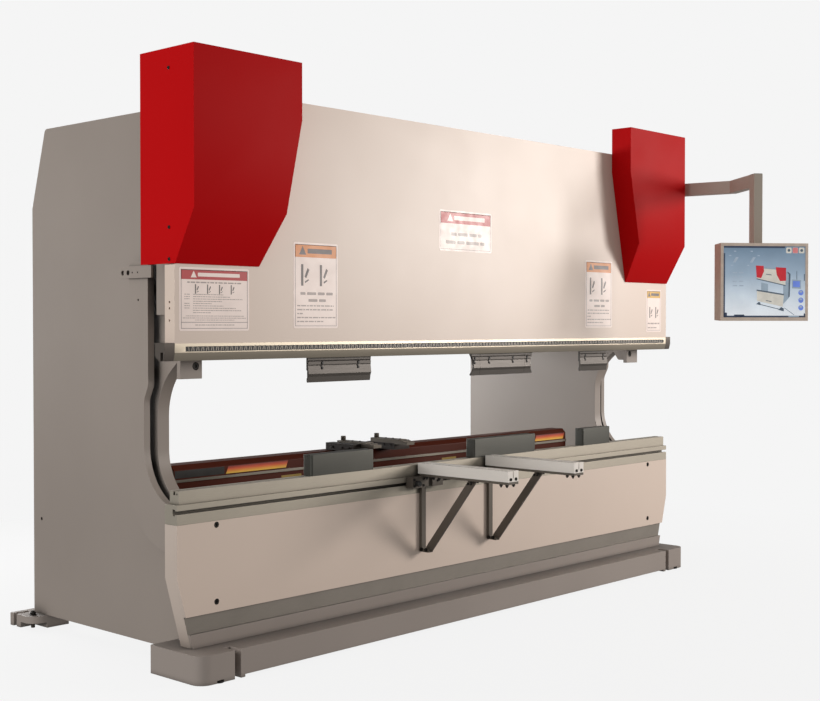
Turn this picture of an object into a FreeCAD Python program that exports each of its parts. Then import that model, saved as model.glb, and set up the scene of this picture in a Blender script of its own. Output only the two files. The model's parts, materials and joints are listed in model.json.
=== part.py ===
"""Hydraulic press brake, 12 foot bed, modelled in millimetres.

X runs along the bed (0 at the middle), Y runs to the back (0 at the front of the
bed), Z runs up (0 at the floor).  Every size is a named cell of one spreadsheet.
"""

import FreeCAD, Part
import Sketcher

import math
import os
import re

V = FreeCAD.Vector

SIZES = {
    # side frames: thick plates with a throat cut in from the front
    "frame_in": 1597, "frame_out": 1657, "frame_rear": 1352, "frame_low": 60,
    "frame_shoulder": 2003, "frame_high": 2371, "frame_high_rear": 1238, "frame_round": 22,
    "frame_front": 155, "nose_low": 1235, "nose_back": 192, "cusp_y": 226, "cusp_z": 1283,
    "throat_back": 360, "throat_bend": 1172, "throat_floor": 672,
    "throat_high_round": 259, "throat_low_round": 235,
    "lift_hole_y": 1284, "lift_hole_z": 517, "lift_hole_r": 8,
    # outer plates: C shaped, held off the frames by spacers
    "outer_in": 1687, "outer_out": 1719, "outer_rear": 480, "outer_high": 1716,
    "outer_front": 344, "outer_throat": 375, "step_high": 1185, "step_low": 1122,
    "outer_floor": 672, "outer_low": 485, "outer_low_round": 295,
    "outer_throat_round": 250, "step_round": 70, "outer_high_round": 30,
    "spacer_r": 27, "spacer_y": 428, "spacer_low_y": 170, "spacer_low_z": 600,
    "spacer_z1": 830, "spacer_z2": 1240, "spacer_z3": 1600,
    "tag_hole_y": 413, "tag_hole_z": 1551, "tag_hole_r": 5,
    # scale brackets: drilled bars on the outer plates
    "bar_thick": 12, "bar_front": 304, "bar_back": 529, "bar_low": 1645, "bar_high": 1697,
    "bar_hole_y": 508, "bar_hole_step": 39, "bar_hole_z": 1669, "bar_hole_r": 11,
    "bar_small_y": 439, "bar_small_r": 4,
    # bed: thick plate, front skin, toe plate, slotted rail and die rail
    "bed_half": 1830, "bed_front": 0, "bed_face": 15, "bed_back": 81, "bed_low": 119,
    "bed_low_half": 1751, "taper_z": 414, "skin_low": 253, "toe_high": 178,
    "rail_low": 633, "rail_high": 715, "slot_z": 684, "slot_mouth": 14, "slot_neck": 14,
    "slot_wide": 26, "slot_back": 30, "die_rail_half": 1813, "die_rail_front": 10,
    "die_rail_back": 70, "die_rail_high": 770, "die_mid": 40, "die_groove": 13,
    "die_groove_deep": 17, "end_hole_r": 4,
    "bolt_x": 1627, "bolt_z1": 296, "bolt_z2": 616, "bolt_r": 12, "bolt_gap": 1, "bolt_sink": 8,
    # lower dies
    "die_half": 29, "die_high": 865, "vee_half": 11, "vee_deep": 15, "die_round": 2,
    "die_corner": 10,
    "die1_low": -1080, "die1_high": -683, "die2_low": 42, "die2_high": 550,
    "die3_low": 984, "die3_high": 1249,
    # base beam, rear feet and levelling screws
    "base_half": 1820, "base_front": -136, "base_back": 195, "base_high": 119,
    "base_gap": 11, "base_round": 58, "base_slot_in": 1611, "base_slot_out": 1643,
    "base_slot_back": -66, "lug_in": 1588, "lug_out": 1700, "pad_in": 1735, "lug_back": -80,
    "pad_half": 80, "pad_deep": 60,
    "foot_in": 1540, "foot_out": 1742, "foot_front": 1236, "foot_rear": 1428, "foot_round": 66,
    "foot_slot_low": 1372, "foot_slot_high": 1398, "foot_slot_in": 1662,
    "arch_in": 1660, "arch_back": 1336, "arch_high": 26,
    "jack_x": 1700, "jack_y": 1295, "jack_r": 9.5, "jack_gap": 0.5, "jack_high": 42,
    "front_jack_x": 1717.5, "front_jack_y": -105,
    # cross members
    "tie_thick": 16, "low_tie_front": 1180, "low_tie_back": 1290, "low_tie_low": 260,
    "low_tie_high": 560, "high_tie_low": 1470, "high_tie_high": 1570, "high_tie_deep": 80,
    "high_tie_y1": 460, "high_tie_y2": 910,
    # oil tank and power pack
    "tank_half": 700, "tank_front": 440, "tank_back": 1010, "tank_high": 2060,
    "tank_wall": 5, "lid_lip": 10, "lid_thick": 12, "pump_x": -350, "pump_y": 725,
    "pump_r": 60, "pump_low": 1850, "bell_r": 100, "bell_high": 118, "motor_r": 112,
    "motor_high": 245, "motor_foot_r": 104, "box_wide": 110, "box_deep": 60,
    "valve_low": 150, "valve_high": 550, "valve_front": 480, "valve_back": 640,
    "valve_tall": 96, "coil_r": 24, "coil_tall": 70, "filler_x": 560, "filler_y": 860,
    "filler_r": 42, "filler_tall": 55,
    "pipe_r": 14, "pipe_y": 560, "pipe_z": 2120, "pipe_x": 1560, "pipe_over": 2450,
    "pipe_bend": 45,
    # lifting cylinders
    "cyl_x": 1627, "cyl_y": 39.4, "barrel_r": 100, "bore_r": 78, "barrel_low": 1850,
    "bore_high": 2330, "barrel_high": 2400, "lug_half": 48, "lug_tall": 90,
    "lug1_z": 1900, "lug2_z": 2230, "gland_low": 1824, "gland_high": 1890,
    "rod_r": 31, "fit_gap": 0.08, "piston_low": 2215, "piston_high": 2300,
    # ram, guides and clamp
    "ram_half": 1833, "ram_front": 7.4, "ram_back": 71.4, "ram_low": 1369, "ram_high": 2419,
    "ram_shelf": 1688, "ram_neck": 1470, "ram_hole_y": 41, "ram_hole_r": 5,
    "ram_hole_z1": 1462, "ram_hole_z2": 1511, "ram_hole_z3": 1536, "ram_hole_deep": 30,
    "foot_plate_half": 90, "foot_plate_high": 1722,
    "guide_in": 1597, "guide_out": 1711, "guide_front": 131, "guide_low": 1218,
    "guide_high": 1480, "guide_bolt_x": 1630, "guide_bolt_z": 1271, "guide_bolt_z2": 1425,
    "guide_bolt_r": 16,
    "bracket_back": 295, "bracket_low": 1486, "bracket_high": 1990,
    "gib_in": 1602, "gib_out": 1706, "gib_low": 1400, "gib_high": 1675, "gib_gap": 0.5,
    "clamp_low": 1298, "clamp_bevel_z": 1331, "clamp_bevel_y": 16, "clamp_rear_z": 1318,
    "clamp_rear_y": 45, "tang_front": 18, "tang_back": 36, "tang_high": 1333,
    "cap_out": 1883, "cap_rise": 3, "strip_low": 1336, "strip_high": 1356.5,
    "strip_start": -1778, "strip_end": 1808, "strip_deep": 1.5,
    "tang_gap": 0.5, "punch_front": 32, "punch_back": 45.5, "groove_high": 1286,
    "groove_low": 1280, "groove_deep": 2.5, "brow_z": 1267, "brow_low": 1262, "brow_deep": 1.5,
    "belly_z": 1225, "belly_y": 29, "chin_z": 1212, "chin_y": 34, "punch_low": 1187,
    "tip_front": 38, "tip_back": 41.5, "heel_high": 1243, "heel_y": 40.5, "heel_slope": 4,
    "bead_high": 1204, "bead_low": 1193, "bead_back": 44,
    "horn1": 112, "horn2": 480, "horn_r": 74, "horn_bite": 20,
    # covers over the cylinders
    "cover_in": 1254, "cover_front": -121, "cover_back": 235, "cover_high": 2561,
    "cover_low": 1692, "cover_bend_z": 2316, "cover_knee_z": 1912, "cover_knee_x": 1343,
    "cover_low_x": 1390, "cover_lip": 3.4, "cover_wall": 2.5, "cover_trim": 6.5,
    "cover_step_x": 1590,
    "screw_y": 41.5, "screw_z1": 1710, "screw_z2": 1839, "screw_z3": 2480, "screw_r": 7,
    "screw_tall": 4, "tab_front": 180, "tab_back": 230, "tab_z1": 2030, "tab_z2": 2290,
    "tab_tall": 50,
    # back gauge
    "way_x": 900, "way_half": 40, "way_low": 560, "way_high": 640, "run_gap": 0.4,
    "saddle_half": 55, "saddle_front": 602, "saddle_back": 710, "saddle_high": 672,
    "post_half": 30, "post_front": 608, "post_back": 668, "post_high": 795,
    "lift_half": 46, "lift_back": 684, "lift_low": 702, "lift_high": 780,
    "beam_half": 1475, "beam_front": 490, "beam_back": 600, "beam_low": 700, "beam_high": 812,
    "beam_chamfer": 22, "rib_low": 734, "rib_high": 750, "rib_out": 5,
    "finger1_x": -473, "finger2_x": -175, "finger_wide": 112, "block_front": 362,
    "block_heel": 484, "block_low": 804, "block_high": 850, "finger_back": 560,
    "finger_high": 858, "blade_wide": 56, "blade_seat": 838, "blade_back": 535,
    "blade_low": 832, "finger_tip": 275, "step_y1": 330, "step_y2": 300, "finger_step": 5,
    "thumb_y": 518, "thumb_r": 12, "thumb_tall": 22,
    # sheet support arms
    "arm1_x": -398, "arm2_x": 111, "arm_wide": 76, "arm_front": -560, "arm_rear": -5,
    "arm_low": 729, "arm_high": 779, "arm_slot": 5, "arm_slot_deep": 34, "arm_bore_r": 5,
    "arm_bore_x": 19, "arm_bore_z": 741, "tray_low": 717, "tray_rear": -16,
    "strut_in": 14, "strut_wide": 30, "strut_back": -2, "strut_front": -18, "strut_low": 350,
    "strut_high": 665, "brace_in": 27, "brace_thick": 12, "brace_y": -302, "brace_deep": 48,
    "brace_foot": -63, "brace_heel": -33, "brace_rise": 24, "shoe_rise": 16,
    "slide_left": 78, "slide_right": 141, "slide_front": -42, "slide_plate": -14,
    "slide_low": 665, "block1_wide": 90, "block2_in": 64, "block2_wide": 77,
    "middle_front": -30,
    "nut_gap": 0.5, "nut_in": 20,
    "knob_x": 48, "knob_z": 687, "knob_r": 13, "knob_front": -64, "knob_stem_r": 5,
    # control pendant
    "pivot_x": 1855, "pivot_y": 330, "elbow_x": 1957.5, "elbow_y": -371, "drop_x": 1728,
    "drop_y": -643, "tube_wide": 49, "tube_deep": 73, "tube_low": 2221, "tube_high": 2294,
    "drop_low": 1903, "spigot_r": 20, "spigot_low": 1740, "hub_r": 40, "pin_r": 16,
    "bracket_gap": 1, "ear_thick": 20, "ear_half": 45, "hub_low": 2201, "hub_high": 2314,
    "screen_angle": -40.13, "case_half": 253, "case_front": -134.5, "case_back": -34.5,
    "case_low": 1467, "case_high": 1898.5, "case_taper": 4, "glass_side": 17,
    "glass_low": 1487, "glass_high": 1881, "glass_deep": 6, "yoke_half": 30, "yoke_back": 32,
    "yoke_low": 1752, "yoke_high": 1850,
    # electrical cabinet
    "cab_in": 997, "cab_front": 1010, "cab_back": 1290, "cab_low": 1400, "cab_high": 2150,
    "cab_wall": 3, "door_thick": 18, "door_gap": 1.5, "latch_r": 12, "latch_in": 45,
    "hinge_r": 7, "hinge_tall": 60, "hinge_leaf": 2,
}

doc = FreeCAD.newDocument("press_brake")
sheet = doc.addObject("Spreadsheet::Sheet", "Sheet")
for row, (alias, value) in enumerate(SIZES.items(), start=1):
    sheet.set(f"A{row}", alias)
    sheet.set(f"B{row}", str(value))
    sheet.setAlias(f"B{row}", alias)
doc.recompute()

PARTS = []
PLANE_OF = {"x": "YZ_Plane", "y": "XZ_Plane", "z": "XY_Plane"}
TURN_TO = {"x": FreeCAD.Rotation(V(0, 1, 0), 90), "y": FreeCAD.Rotation(V(1, 0, 0), -90),
           "z": FreeCAD.Rotation()}
SIDES = (("left", -1), ("right", 1))


# ---------------------------------------------------------------- helpers

def formula(text):
    """Turns sizes' names into links to the sheet."""
    return re.sub(r"[a-z_]\w*", lambda m: f"Sheet.{m[0]}" if m[0] in SIZES else m[0], str(text))


def number(text):
    """The value of a formula, for placing sketches and picking edges."""
    return float(sheet.evalExpression(formula(text)))


def between(sign, near, far):
    """The X range of a piece on one side, from its distances to the middle."""
    return (near, far) if sign > 0 else (f"-({far})", f"-({near})")


def signed(sign, text):
    return f"({text})" if sign > 0 else f"-({text})"


def box(name, x, y, z):
    """A block between three pairs of formulas."""
    block = doc.addObject("Part::Box", name)
    for size, axis, (low, high) in (("Length", "x", x), ("Width", "y", y), ("Height", "z", z)):
        block.setExpression(size, formula(f"({high}) - ({low})"))
        block.setExpression(f"Placement.Base.{axis}", formula(low))
    return block


def cylinder(name, axis, radius, span, across):
    """A round bar along an axis; across gives its place on the other two axes."""
    bar = doc.addObject("Part::Cylinder", name)
    bar.Placement = FreeCAD.Placement(V(), TURN_TO[axis])
    bar.setExpression("Radius", formula(radius))
    bar.setExpression("Height", formula(f"({span[1]}) - ({span[0]})"))
    places = dict(zip([a for a in "xyz" if a != axis], across))
    places[axis] = span[0]
    for letter, text in places.items():
        bar.setExpression(f"Placement.Base.{letter}", formula(text))
    return bar


def outline_sketch(body, name, axis, points, start):
    """A closed sketch of straight sides, each corner held by two driven distances."""
    sketch = body.newObject("Sketcher::SketchObject", name)
    plane = next(f for f in body.Origin.OriginFeatures if f.Role == PLANE_OF[axis])
    sketch.AttachmentSupport = [(plane, "")]
    sketch.MapMode = "FlatFace"
    sketch.setExpression("AttachmentOffset.Base.z", formula(start))
    corners = [V(number(u), number(v), 0) for u, v in points]
    count = len(corners)
    for i in range(count):
        sketch.addGeometry(Part.LineSegment(corners[i], corners[(i + 1) % count]), False)
    for i in range(count):
        sketch.addConstraint(Sketcher.Constraint("Coincident", i, 2, (i + 1) % count, 1))
    for i, (u, v) in enumerate(points):
        for kind, text, value in (("DistanceX", u, corners[i].x), ("DistanceY", v, corners[i].y)):
            index = sketch.addConstraint(Sketcher.Constraint(kind, i, 1, value))
            sketch.setExpression(f"Constraints[{index}]", formula(text))
    return sketch


def prism(name, axis, points, low, high, rounds=()):
    """A body padded along an axis; rounds lists (corner number, radius)."""
    body = doc.addObject("PartDesign::Body", name)
    start = f"-({high})" if axis == "y" else low
    sketch = outline_sketch(body, f"{name}_outline", axis, points, start)
    pad = body.newObject("PartDesign::Pad", f"{name}_pad")
    pad.Profile = sketch
    pad.setExpression("Length", formula(f"({high}) - ({low})"))
    doc.recompute([sketch, pad, body])
    sketch.Visibility = False
    solid = pad
    for count, (corner, radius) in enumerate(rounds):
        u, v = (number(text) for text in points[corner])
        names = [f"Edge{i}" for i, edge in enumerate(solid.Shape.Edges, start=1)
                 if runs_at(edge, axis, u, v)]
        fillet = body.newObject("PartDesign::Fillet", f"{name}_round{count}")
        fillet.Base = (solid, names)
        fillet.setExpression("Radius", formula(radius))
        doc.recompute([fillet, body])
        solid = fillet
    return body


def runs_at(edge, axis, u, v):
    """True for a straight edge along the axis at the corner (u, v)."""
    if len(edge.Vertexes) != 2:
        return False
    ends = [dict(zip("xyz", vertex.Point)) for vertex in edge.Vertexes]
    first, second = [a for a in "xyz" if a != axis]
    return all(abs(e[first] - u) < 0.01 and abs(e[second] - v) < 0.01 for e in ends)


def fuse(name, *pieces):
    joined = doc.addObject("Part::MultiFuse", name)
    joined.Shapes = list(pieces)
    return joined


def common(name, first, second):
    shared = doc.addObject("Part::MultiCommon", name)
    shared.Shapes = [first, second]
    return shared


def cut(name, base, *tools):
    result = doc.addObject("Part::Cut", name)
    result.Base = base
    result.Tool = tools[0] if len(tools) == 1 else fuse(f"{name}_tools", *tools)
    return result


def group(name, pieces):
    """Several separate solids in one node."""
    bundle = doc.addObject("Part::Compound", name)
    bundle.Links = list(pieces)
    return bundle


def part(label, thing):
    """Names a finished sub-part."""
    thing.Label = label
    PARTS.append(thing)
    return thing


# ---------------------------------------------------------------- frames

def side_frame(side, sign):
    points = [("frame_rear", "frame_low"), ("frame_rear", "frame_shoulder"),
              ("frame_high_rear", "frame_high"), ("frame_front", "frame_high"),
              ("frame_front", "nose_low"), ("nose_back", "nose_low"), ("cusp_y", "cusp_z"),
              ("throat_back", "throat_bend"), ("throat_back", "throat_floor"),
              ("bed_back", "throat_floor"), ("bed_back", "base_high"),
              ("base_back + 1", "base_high"), ("base_back + 1", "frame_low")]
    low, high = between(sign, "frame_in", "frame_out")
    rounds = [(7, "throat_high_round"), (8, "throat_low_round"), (2, "frame_round"),
              (5, "nose_back - frame_front - frame_round")]
    plate = prism(f"frame_plate_{side}", "x", points, low, high, rounds)
    hole = cylinder(f"frame_hole_{side}", "x", "lift_hole_r", (low, high),
                    ("lift_hole_y", "lift_hole_z"))
    part(f"side_frame_{side}", cut(f"side_frame_{side}", plate, hole))


def outer_plate(side, sign):
    points = [("bed_back", "outer_low"), ("outer_rear", "outer_low"),
              ("outer_rear", "outer_high"), ("outer_front", "outer_high"),
              ("outer_front", "step_high"), ("outer_throat", "step_low"),
              ("outer_throat", "outer_floor"), ("bed_back", "outer_floor")]
    low, high = between(sign, "outer_in", "outer_out")
    rounds = [(1, "outer_low_round"), (6, "outer_throat_round"), (2, "outer_high_round"),
              (4, "step_round"), (5, "step_round")]
    plate = prism(f"outer_blank_{side}", "x", points, low, high, rounds)
    hole = cylinder(f"outer_hole_{side}", "x", "tag_hole_r", (low, high),
                    ("tag_hole_y", "tag_hole_z"))
    part(f"outer_plate_{side}", cut(f"outer_plate_{side}", plate, hole))


def spacers():
    places = [("spacer_y", "spacer_z1"), ("spacer_y", "spacer_z2"), ("spacer_y", "spacer_z3"),
              ("spacer_low_y", "spacer_low_z")]
    rings = []
    for side, sign in SIDES:
        span = between(sign, "frame_out", "outer_in")
        rings += [cylinder(f"spacer_{side}_{i}", "x", "spacer_r", span, place)
                  for i, place in enumerate(places)]
    part("plate_spacers", group("plate_spacers", rings))


def scale_brackets():
    bars = []
    for side, sign in SIDES:
        span = between(sign, "outer_out", "outer_out + bar_thick")
        bar = box(f"bar_{side}", span, ("bar_front", "bar_back"), ("bar_low", "bar_high"))
        holes = [("bar_hole_y", "bar_hole_r"), ("bar_hole_y - bar_hole_step", "bar_hole_r"),
                 ("bar_small_y", "bar_small_r"), ("bar_small_y - bar_hole_step", "bar_small_r")]
        drills = [cylinder(f"bar_drill_{side}_{i}", "x", radius, span, (y, "bar_hole_z"))
                  for i, (y, radius) in enumerate(holes)]
        bars.append(cut(f"drilled_bar_{side}", bar, *drills))
    part("scale_brackets", group("scale_brackets", bars))


def base_beam():
    points = [("-base_half", "base_back"), ("-base_half", "base_front"),
              ("base_half", "base_front"), ("base_half", "base_back")]
    block = prism("base_block", "z", points, "0", "base_high",
                  [(1, "base_round"), (2, "base_round")])
    whole_y = ("base_front", "base_back")
    tools = [box("pad_relief_front", ("-pad_half", "pad_half"), ("base_front", "-pad_deep"),
                 ("0", "base_gap")),
             box("pad_relief_back", ("-pad_half", "pad_half"), ("pad_deep", "base_back"),
                 ("0", "base_gap"))]
    for side, sign in SIDES:
        tools += [
            box(f"relief_{side}", between(sign, "pad_half", "lug_in"), whole_y, ("0", "base_gap")),
            box(f"anchor_{side}", between(sign, "base_slot_in", "base_slot_out"),
                ("base_front", "base_slot_back"), ("0", "base_high")),
            box(f"lug_relief_{side}", between(sign, "lug_out", "pad_in"),
                ("base_front", "lug_back"), ("0", "base_gap")),
            cylinder(f"front_jack_hole_{side}", "z", "jack_r + jack_gap",
                     ("0", "jack_high + jack_gap"),
                     (signed(sign, "front_jack_x"), "front_jack_y"))]
    part("base_beam", cut("base_beam", block, *tools))


def rear_foot(side, sign):
    outer, inner = signed(sign, "foot_out"), signed(sign, "foot_in")
    points = [(outer, "foot_front"), (outer, "foot_rear"), (inner, "foot_rear"),
              (inner, "foot_front")]
    block = prism(f"foot_block_{side}", "z", points, "0", "frame_low", [(0, "foot_round")])
    slot = box(f"foot_slot_{side}", between(sign, "foot_slot_in", "foot_out"),
               ("foot_slot_low", "foot_slot_high"), ("0", "frame_low"))
    arch = box(f"foot_arch_{side}", between(sign, "arch_in", "foot_out"),
               ("foot_front", "arch_back"), ("0", "arch_high"))
    hole = cylinder(f"foot_hole_{side}", "z", "jack_r + jack_gap", ("0", "frame_low"),
                    (signed(sign, "jack_x"), "jack_y"))
    part(f"rear_foot_{side}", cut(f"rear_foot_{side}", block, slot, arch, hole))


def jack_screws():
    screws = []
    for side, sign in SIDES:
        for end, x, y in (("rear", "jack_x", "jack_y"), ("front", "front_jack_x", "front_jack_y")):
            screws.append(cylinder(f"jack_{side}_{end}", "z", "jack_r", ("0", "jack_high"),
                                   (signed(sign, x), y)))
    part("jack_screws", group("jack_screws", screws))


def channel(name, y, z, thick):
    """A channel between the frames, open to the back."""
    front, back = y
    low, high = z
    points = [(front, low), (back, low), (back, f"{low} + {thick}"),
              (f"{front} + {thick}", f"{low} + {thick}"),
              (f"{front} + {thick}", f"{high} - {thick}"), (back, f"{high} - {thick}"),
              (back, high), (front, high)]
    return prism(name, "x", points, "-frame_in", "frame_in")


def cross_members():
    part("lower_tie", channel("lower_tie", ("low_tie_front", "low_tie_back"),
                              ("low_tie_low", "low_tie_high"), "tie_thick"))
    beams = [channel(f"high_tie_{i}", (y, f"{y} + high_tie_deep"),
                     ("high_tie_low", "high_tie_high"), "tie_thick")
             for i, y in enumerate(("high_tie_y1", "high_tie_y2"))]
    part("upper_ties", group("upper_ties", beams))


# ---------------------------------------------------------------- bed and dies

def tapered(name, low, high, y):
    """A bed plate whose ends slope in below taper_z, cut level at low."""
    def half(z):
        slope = "(bed_half - bed_low_half) / (taper_z - bed_low)"
        return f"bed_low_half + ({z} - bed_low) * {slope}"
    points = [(f"-({half(low)})", low), (half(low), low)]
    if number(high) > number("taper_z"):
        points += [("bed_half", "taper_z"), ("bed_half", high), ("-bed_half", high),
                   ("-bed_half", "taper_z")]
    else:
        points += [(half(high), high), (f"-({half(high)})", high)]
    return prism(name, "y", points, *y)


def bed():
    drills = []
    sinks = []
    for side, sign in SIDES:
        for i, z in enumerate(("bolt_z1", "bolt_z2")):
            across = (signed(sign, "bolt_x"), z)
            drills.append(cylinder(f"bed_drill_{side}_{i}", "y", "bolt_r + bolt_gap",
                                   ("bed_face", "bed_back"), across))
            sinks.append(cylinder(f"skin_drill_{side}_{i}", "y", "bolt_r + bolt_gap",
                                  ("bed_front", "bed_face"), across))
    plate = tapered("bed_blank", "bed_low", "rail_low", ("bed_face", "bed_back"))
    part("bed_plate", cut("bed_plate", plate, *drills))
    skin = tapered("skin_blank", "skin_low", "rail_low", ("bed_front", "bed_face"))
    part("bed_skin", cut("bed_skin", skin, *sinks))
    part("toe_plate", tapered("toe_plate", "bed_low", "toe_high", ("bed_front", "bed_face")))


def bed_rail():
    mouth = ("slot_z - slot_mouth / 2", "slot_z + slot_mouth / 2")
    wide = ("slot_z - slot_wide / 2", "slot_z + slot_wide / 2")
    points = [("bed_front", "rail_low"), ("bed_back", "rail_low"), ("bed_back", "rail_high"),
              ("bed_front", "rail_high"), ("bed_front", mouth[1]), ("slot_neck", mouth[1]),
              ("slot_neck", wide[1]), ("slot_back", wide[1]), ("slot_back", wide[0]),
              ("slot_neck", wide[0]), ("slot_neck", mouth[0]), ("bed_front", mouth[0])]
    part("bed_rail", prism("bed_rail", "x", points, "-bed_half", "bed_half"))


def die_rail():
    groove = ("die_mid - die_groove / 2", "die_mid + die_groove / 2")
    floor = "die_rail_high - die_groove_deep"
    points = [("die_rail_front", "rail_high"), ("die_rail_back", "rail_high"),
              ("die_rail_back", "die_rail_high"), (groove[1], "die_rail_high"),
              (groove[1], floor), (groove[0], floor), (groove[0], "die_rail_high"),
              ("die_rail_front", "die_rail_high")]
    bar = prism("die_rail_bar", "x", points, "-die_rail_half", "die_rail_half")
    hole = cylinder("die_rail_hole", "x", "end_hole_r",
                    ("-die_rail_half", "-die_rail_half + die_groove_deep"),
                    ("die_rail_front + die_groove", "die_rail_high - die_groove"))
    part("die_rail", cut("die_rail", bar, hole))


def lower_dies():
    tang = ("die_mid - die_groove / 2 + tang_gap", "die_mid + die_groove / 2 - tang_gap")
    foot = "die_rail_high - die_groove_deep + tang_gap"
    points = [(tang[0], foot), (tang[1], foot), (tang[1], "die_rail_high"),
              ("die_mid + die_half", "die_rail_high"), ("die_mid + die_half", "die_high"),
              ("die_mid + vee_half", "die_high"), ("die_mid", "die_high - vee_deep"),
              ("die_mid - vee_half", "die_high"), ("die_mid - die_half", "die_high"),
              ("die_mid - die_half", "die_rail_high"), (tang[0], "die_rail_high")]
    rounds = [(4, "die_round"), (8, "die_round")]
    dies = []
    for i in (1, 2, 3):
        low, high = f"die{i}_low", f"die{i}_high"
        plan = [(low, "die_mid - die_half"), (high, "die_mid - die_half"),
                (high, "die_mid + die_half"), (low, "die_mid + die_half")]
        across = prism(f"die_bar_{i}", "x", points, low, high, rounds)
        above = prism(f"die_plan_{i}", "z", plan, foot, "die_high",
                      [(corner, "die_corner") for corner in range(len(plan))])
        dies.append(common(f"die_{i}", across, above))
    part("lower_dies", group("lower_dies", dies))


def frame_bolts():
    bolts = []
    for side, sign in SIDES:
        bolts += [cylinder(f"bed_bolt_{side}_{i}", "y", "bolt_r", ("bolt_sink", "bed_back"),
                           (signed(sign, "bolt_x"), z))
                  for i, z in enumerate(("bolt_z1", "bolt_z2"))]
        bolts += [cylinder(f"guide_bolt_{side}_{i}", "y", "guide_bolt_r",
                           ("guide_front + bolt_sink", "frame_front"),
                           (signed(sign, "guide_bolt_x"), z))
                  for i, z in enumerate(("guide_bolt_z", "guide_bolt_z2"))]
    part("frame_bolts", group("frame_bolts", bolts))


# ---------------------------------------------------------------- hydraulics

def tank():
    x, y = ("-tank_half", "tank_half"), ("tank_front", "tank_back")
    shell = box("tank_shell", x, y, ("high_tie_high", "tank_high"))
    room = box("tank_room", ("-tank_half + tank_wall", "tank_half - tank_wall"),
               ("tank_front + tank_wall", "tank_back - tank_wall"),
               ("high_tie_high + tank_wall", "tank_high"))
    part("oil_tank", cut("oil_tank", shell, room))
    plate = box("lid_plate", ("-tank_half - lid_lip", "tank_half + lid_lip"),
                ("tank_front - lid_lip", "tank_back + lid_lip"),
                ("tank_high", "tank_high + lid_thick"))
    filler = cylinder("filler", "z", "filler_r",
                      ("tank_high + lid_thick", "tank_high + lid_thick + filler_tall"),
                      ("filler_x", "filler_y"))
    part("tank_lid", fuse("tank_lid", plate, filler))


def power_pack():
    deck = "tank_high + lid_thick"
    place = ("pump_x", "pump_y")
    part("hydraulic_pump", cylinder("hydraulic_pump", "z", "pump_r", ("pump_low", "tank_high"),
                                    place))
    part("bell_housing", cylinder("bell_housing", "z", "bell_r", (deck, f"{deck} + bell_high"),
                                  place))
    base = f"{deck} + bell_high"
    drum = cylinder("motor_drum", "z", "motor_r", (base, f"{base} + motor_high"), place)
    terminal = box("motor_box", ("pump_x - box_wide / 2", "pump_x + box_wide / 2"),
                   ("pump_y", "pump_y + motor_r + box_deep"),
                   (f"{base} + box_deep", f"{base} + box_deep + box_wide"))
    part("pump_motor", fuse("pump_motor", drum, terminal))
    block = box("valve_block", ("valve_low", "valve_high"), ("valve_front", "valve_back"),
                (deck, f"{deck} + valve_tall"))
    step = "(valve_high - valve_low) / 4"
    coils = [cylinder(f"coil_{i}", "z", "coil_r",
                      (f"{deck} + valve_tall", f"{deck} + valve_tall + coil_tall"),
                      (f"valve_low + {step} * {i}", "(valve_front + valve_back) / 2"))
             for i in (1, 2, 3)]
    part("valve_manifold", fuse("valve_manifold", block, *coils))


def pipe_shape(sign):
    """A bent pipe from the manifold to the top of one cylinder."""
    start = number("valve_high") if sign > 0 else number("valve_low")
    out, y, z = sign * number("pipe_x"), number("pipe_y"), number("pipe_z")
    over, port_y = number("pipe_over"), number("cyl_y")
    route = [V(start, y, z), V(out, y, z), V(out, y, over), V(out, port_y, over),
             V(out, port_y, number("barrel_high"))]
    bend = number("pipe_bend")
    edges = []
    here = route[0]
    for before, corner, after in zip(route, route[1:], route[2:]):
        back = (before - corner).normalize()
        on = (after - corner).normalize()
        enter = corner + back * bend
        leave = corner + on * bend
        centre = corner + (back + on) * bend
        middle = centre - (back + on).normalize() * bend
        edges += [Part.LineSegment(here, enter).toShape(),
                  Part.Arc(enter, middle, leave).toShape()]
        here = leave
    edges.append(Part.LineSegment(here, route[-1]).toShape())
    ring = Part.Wire(Part.Circle(route[0], route[1] - route[0], number("pipe_r")).toShape())
    return Part.Wire(edges).makePipeShell([ring], True, False)


def oil_pipes():
    pipes = doc.addObject("Part::Feature", "oil_pipes")
    pipes.Shape = Part.makeCompound([pipe_shape(sign) for _, sign in SIDES])
    part("oil_pipes", pipes)


def lift_cylinder(side, sign):
    place = (signed(sign, "cyl_x"), "cyl_y")
    x = (f"{place[0]} - lug_half", f"{place[0]} + lug_half")
    drum = cylinder(f"barrel_{side}", "z", "barrel_r", ("barrel_low", "barrel_high"), place)
    lugs = [box(f"barrel_lug_{side}_{i}", x, ("cyl_y", "frame_front"), (z, f"{z} + lug_tall"))
            for i, z in enumerate(("lug1_z", "lug2_z"))]
    bore = cylinder(f"barrel_bore_{side}", "z", "bore_r", ("barrel_low", "bore_high"), place)
    port = cylinder(f"barrel_port_{side}", "z", "pipe_r / 2", ("bore_high", "barrel_high"),
                    (signed(sign, "pipe_x"), "cyl_y"))
    body = fuse(f"barrel_body_{side}", drum, *lugs)
    part(f"cylinder_{side}", cut(f"cylinder_{side}", body, bore, port))


def glands():
    rings = []
    for side, sign in SIDES:
        place = (signed(sign, "cyl_x"), "cyl_y")
        flange = cylinder(f"gland_flange_{side}", "z", "barrel_r", ("gland_low", "barrel_low"),
                          place)
        sleeve = cylinder(f"gland_sleeve_{side}", "z", "bore_r", ("gland_low", "gland_high"),
                          place)
        hole = cylinder(f"gland_hole_{side}", "z", "rod_r + fit_gap",
                        ("gland_low", "gland_high"), place)
        ring = fuse(f"gland_body_{side}", flange, sleeve)
        rings.append(cut(f"gland_{side}", ring, hole))
    part("cylinder_glands", group("cylinder_glands", rings))


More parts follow.
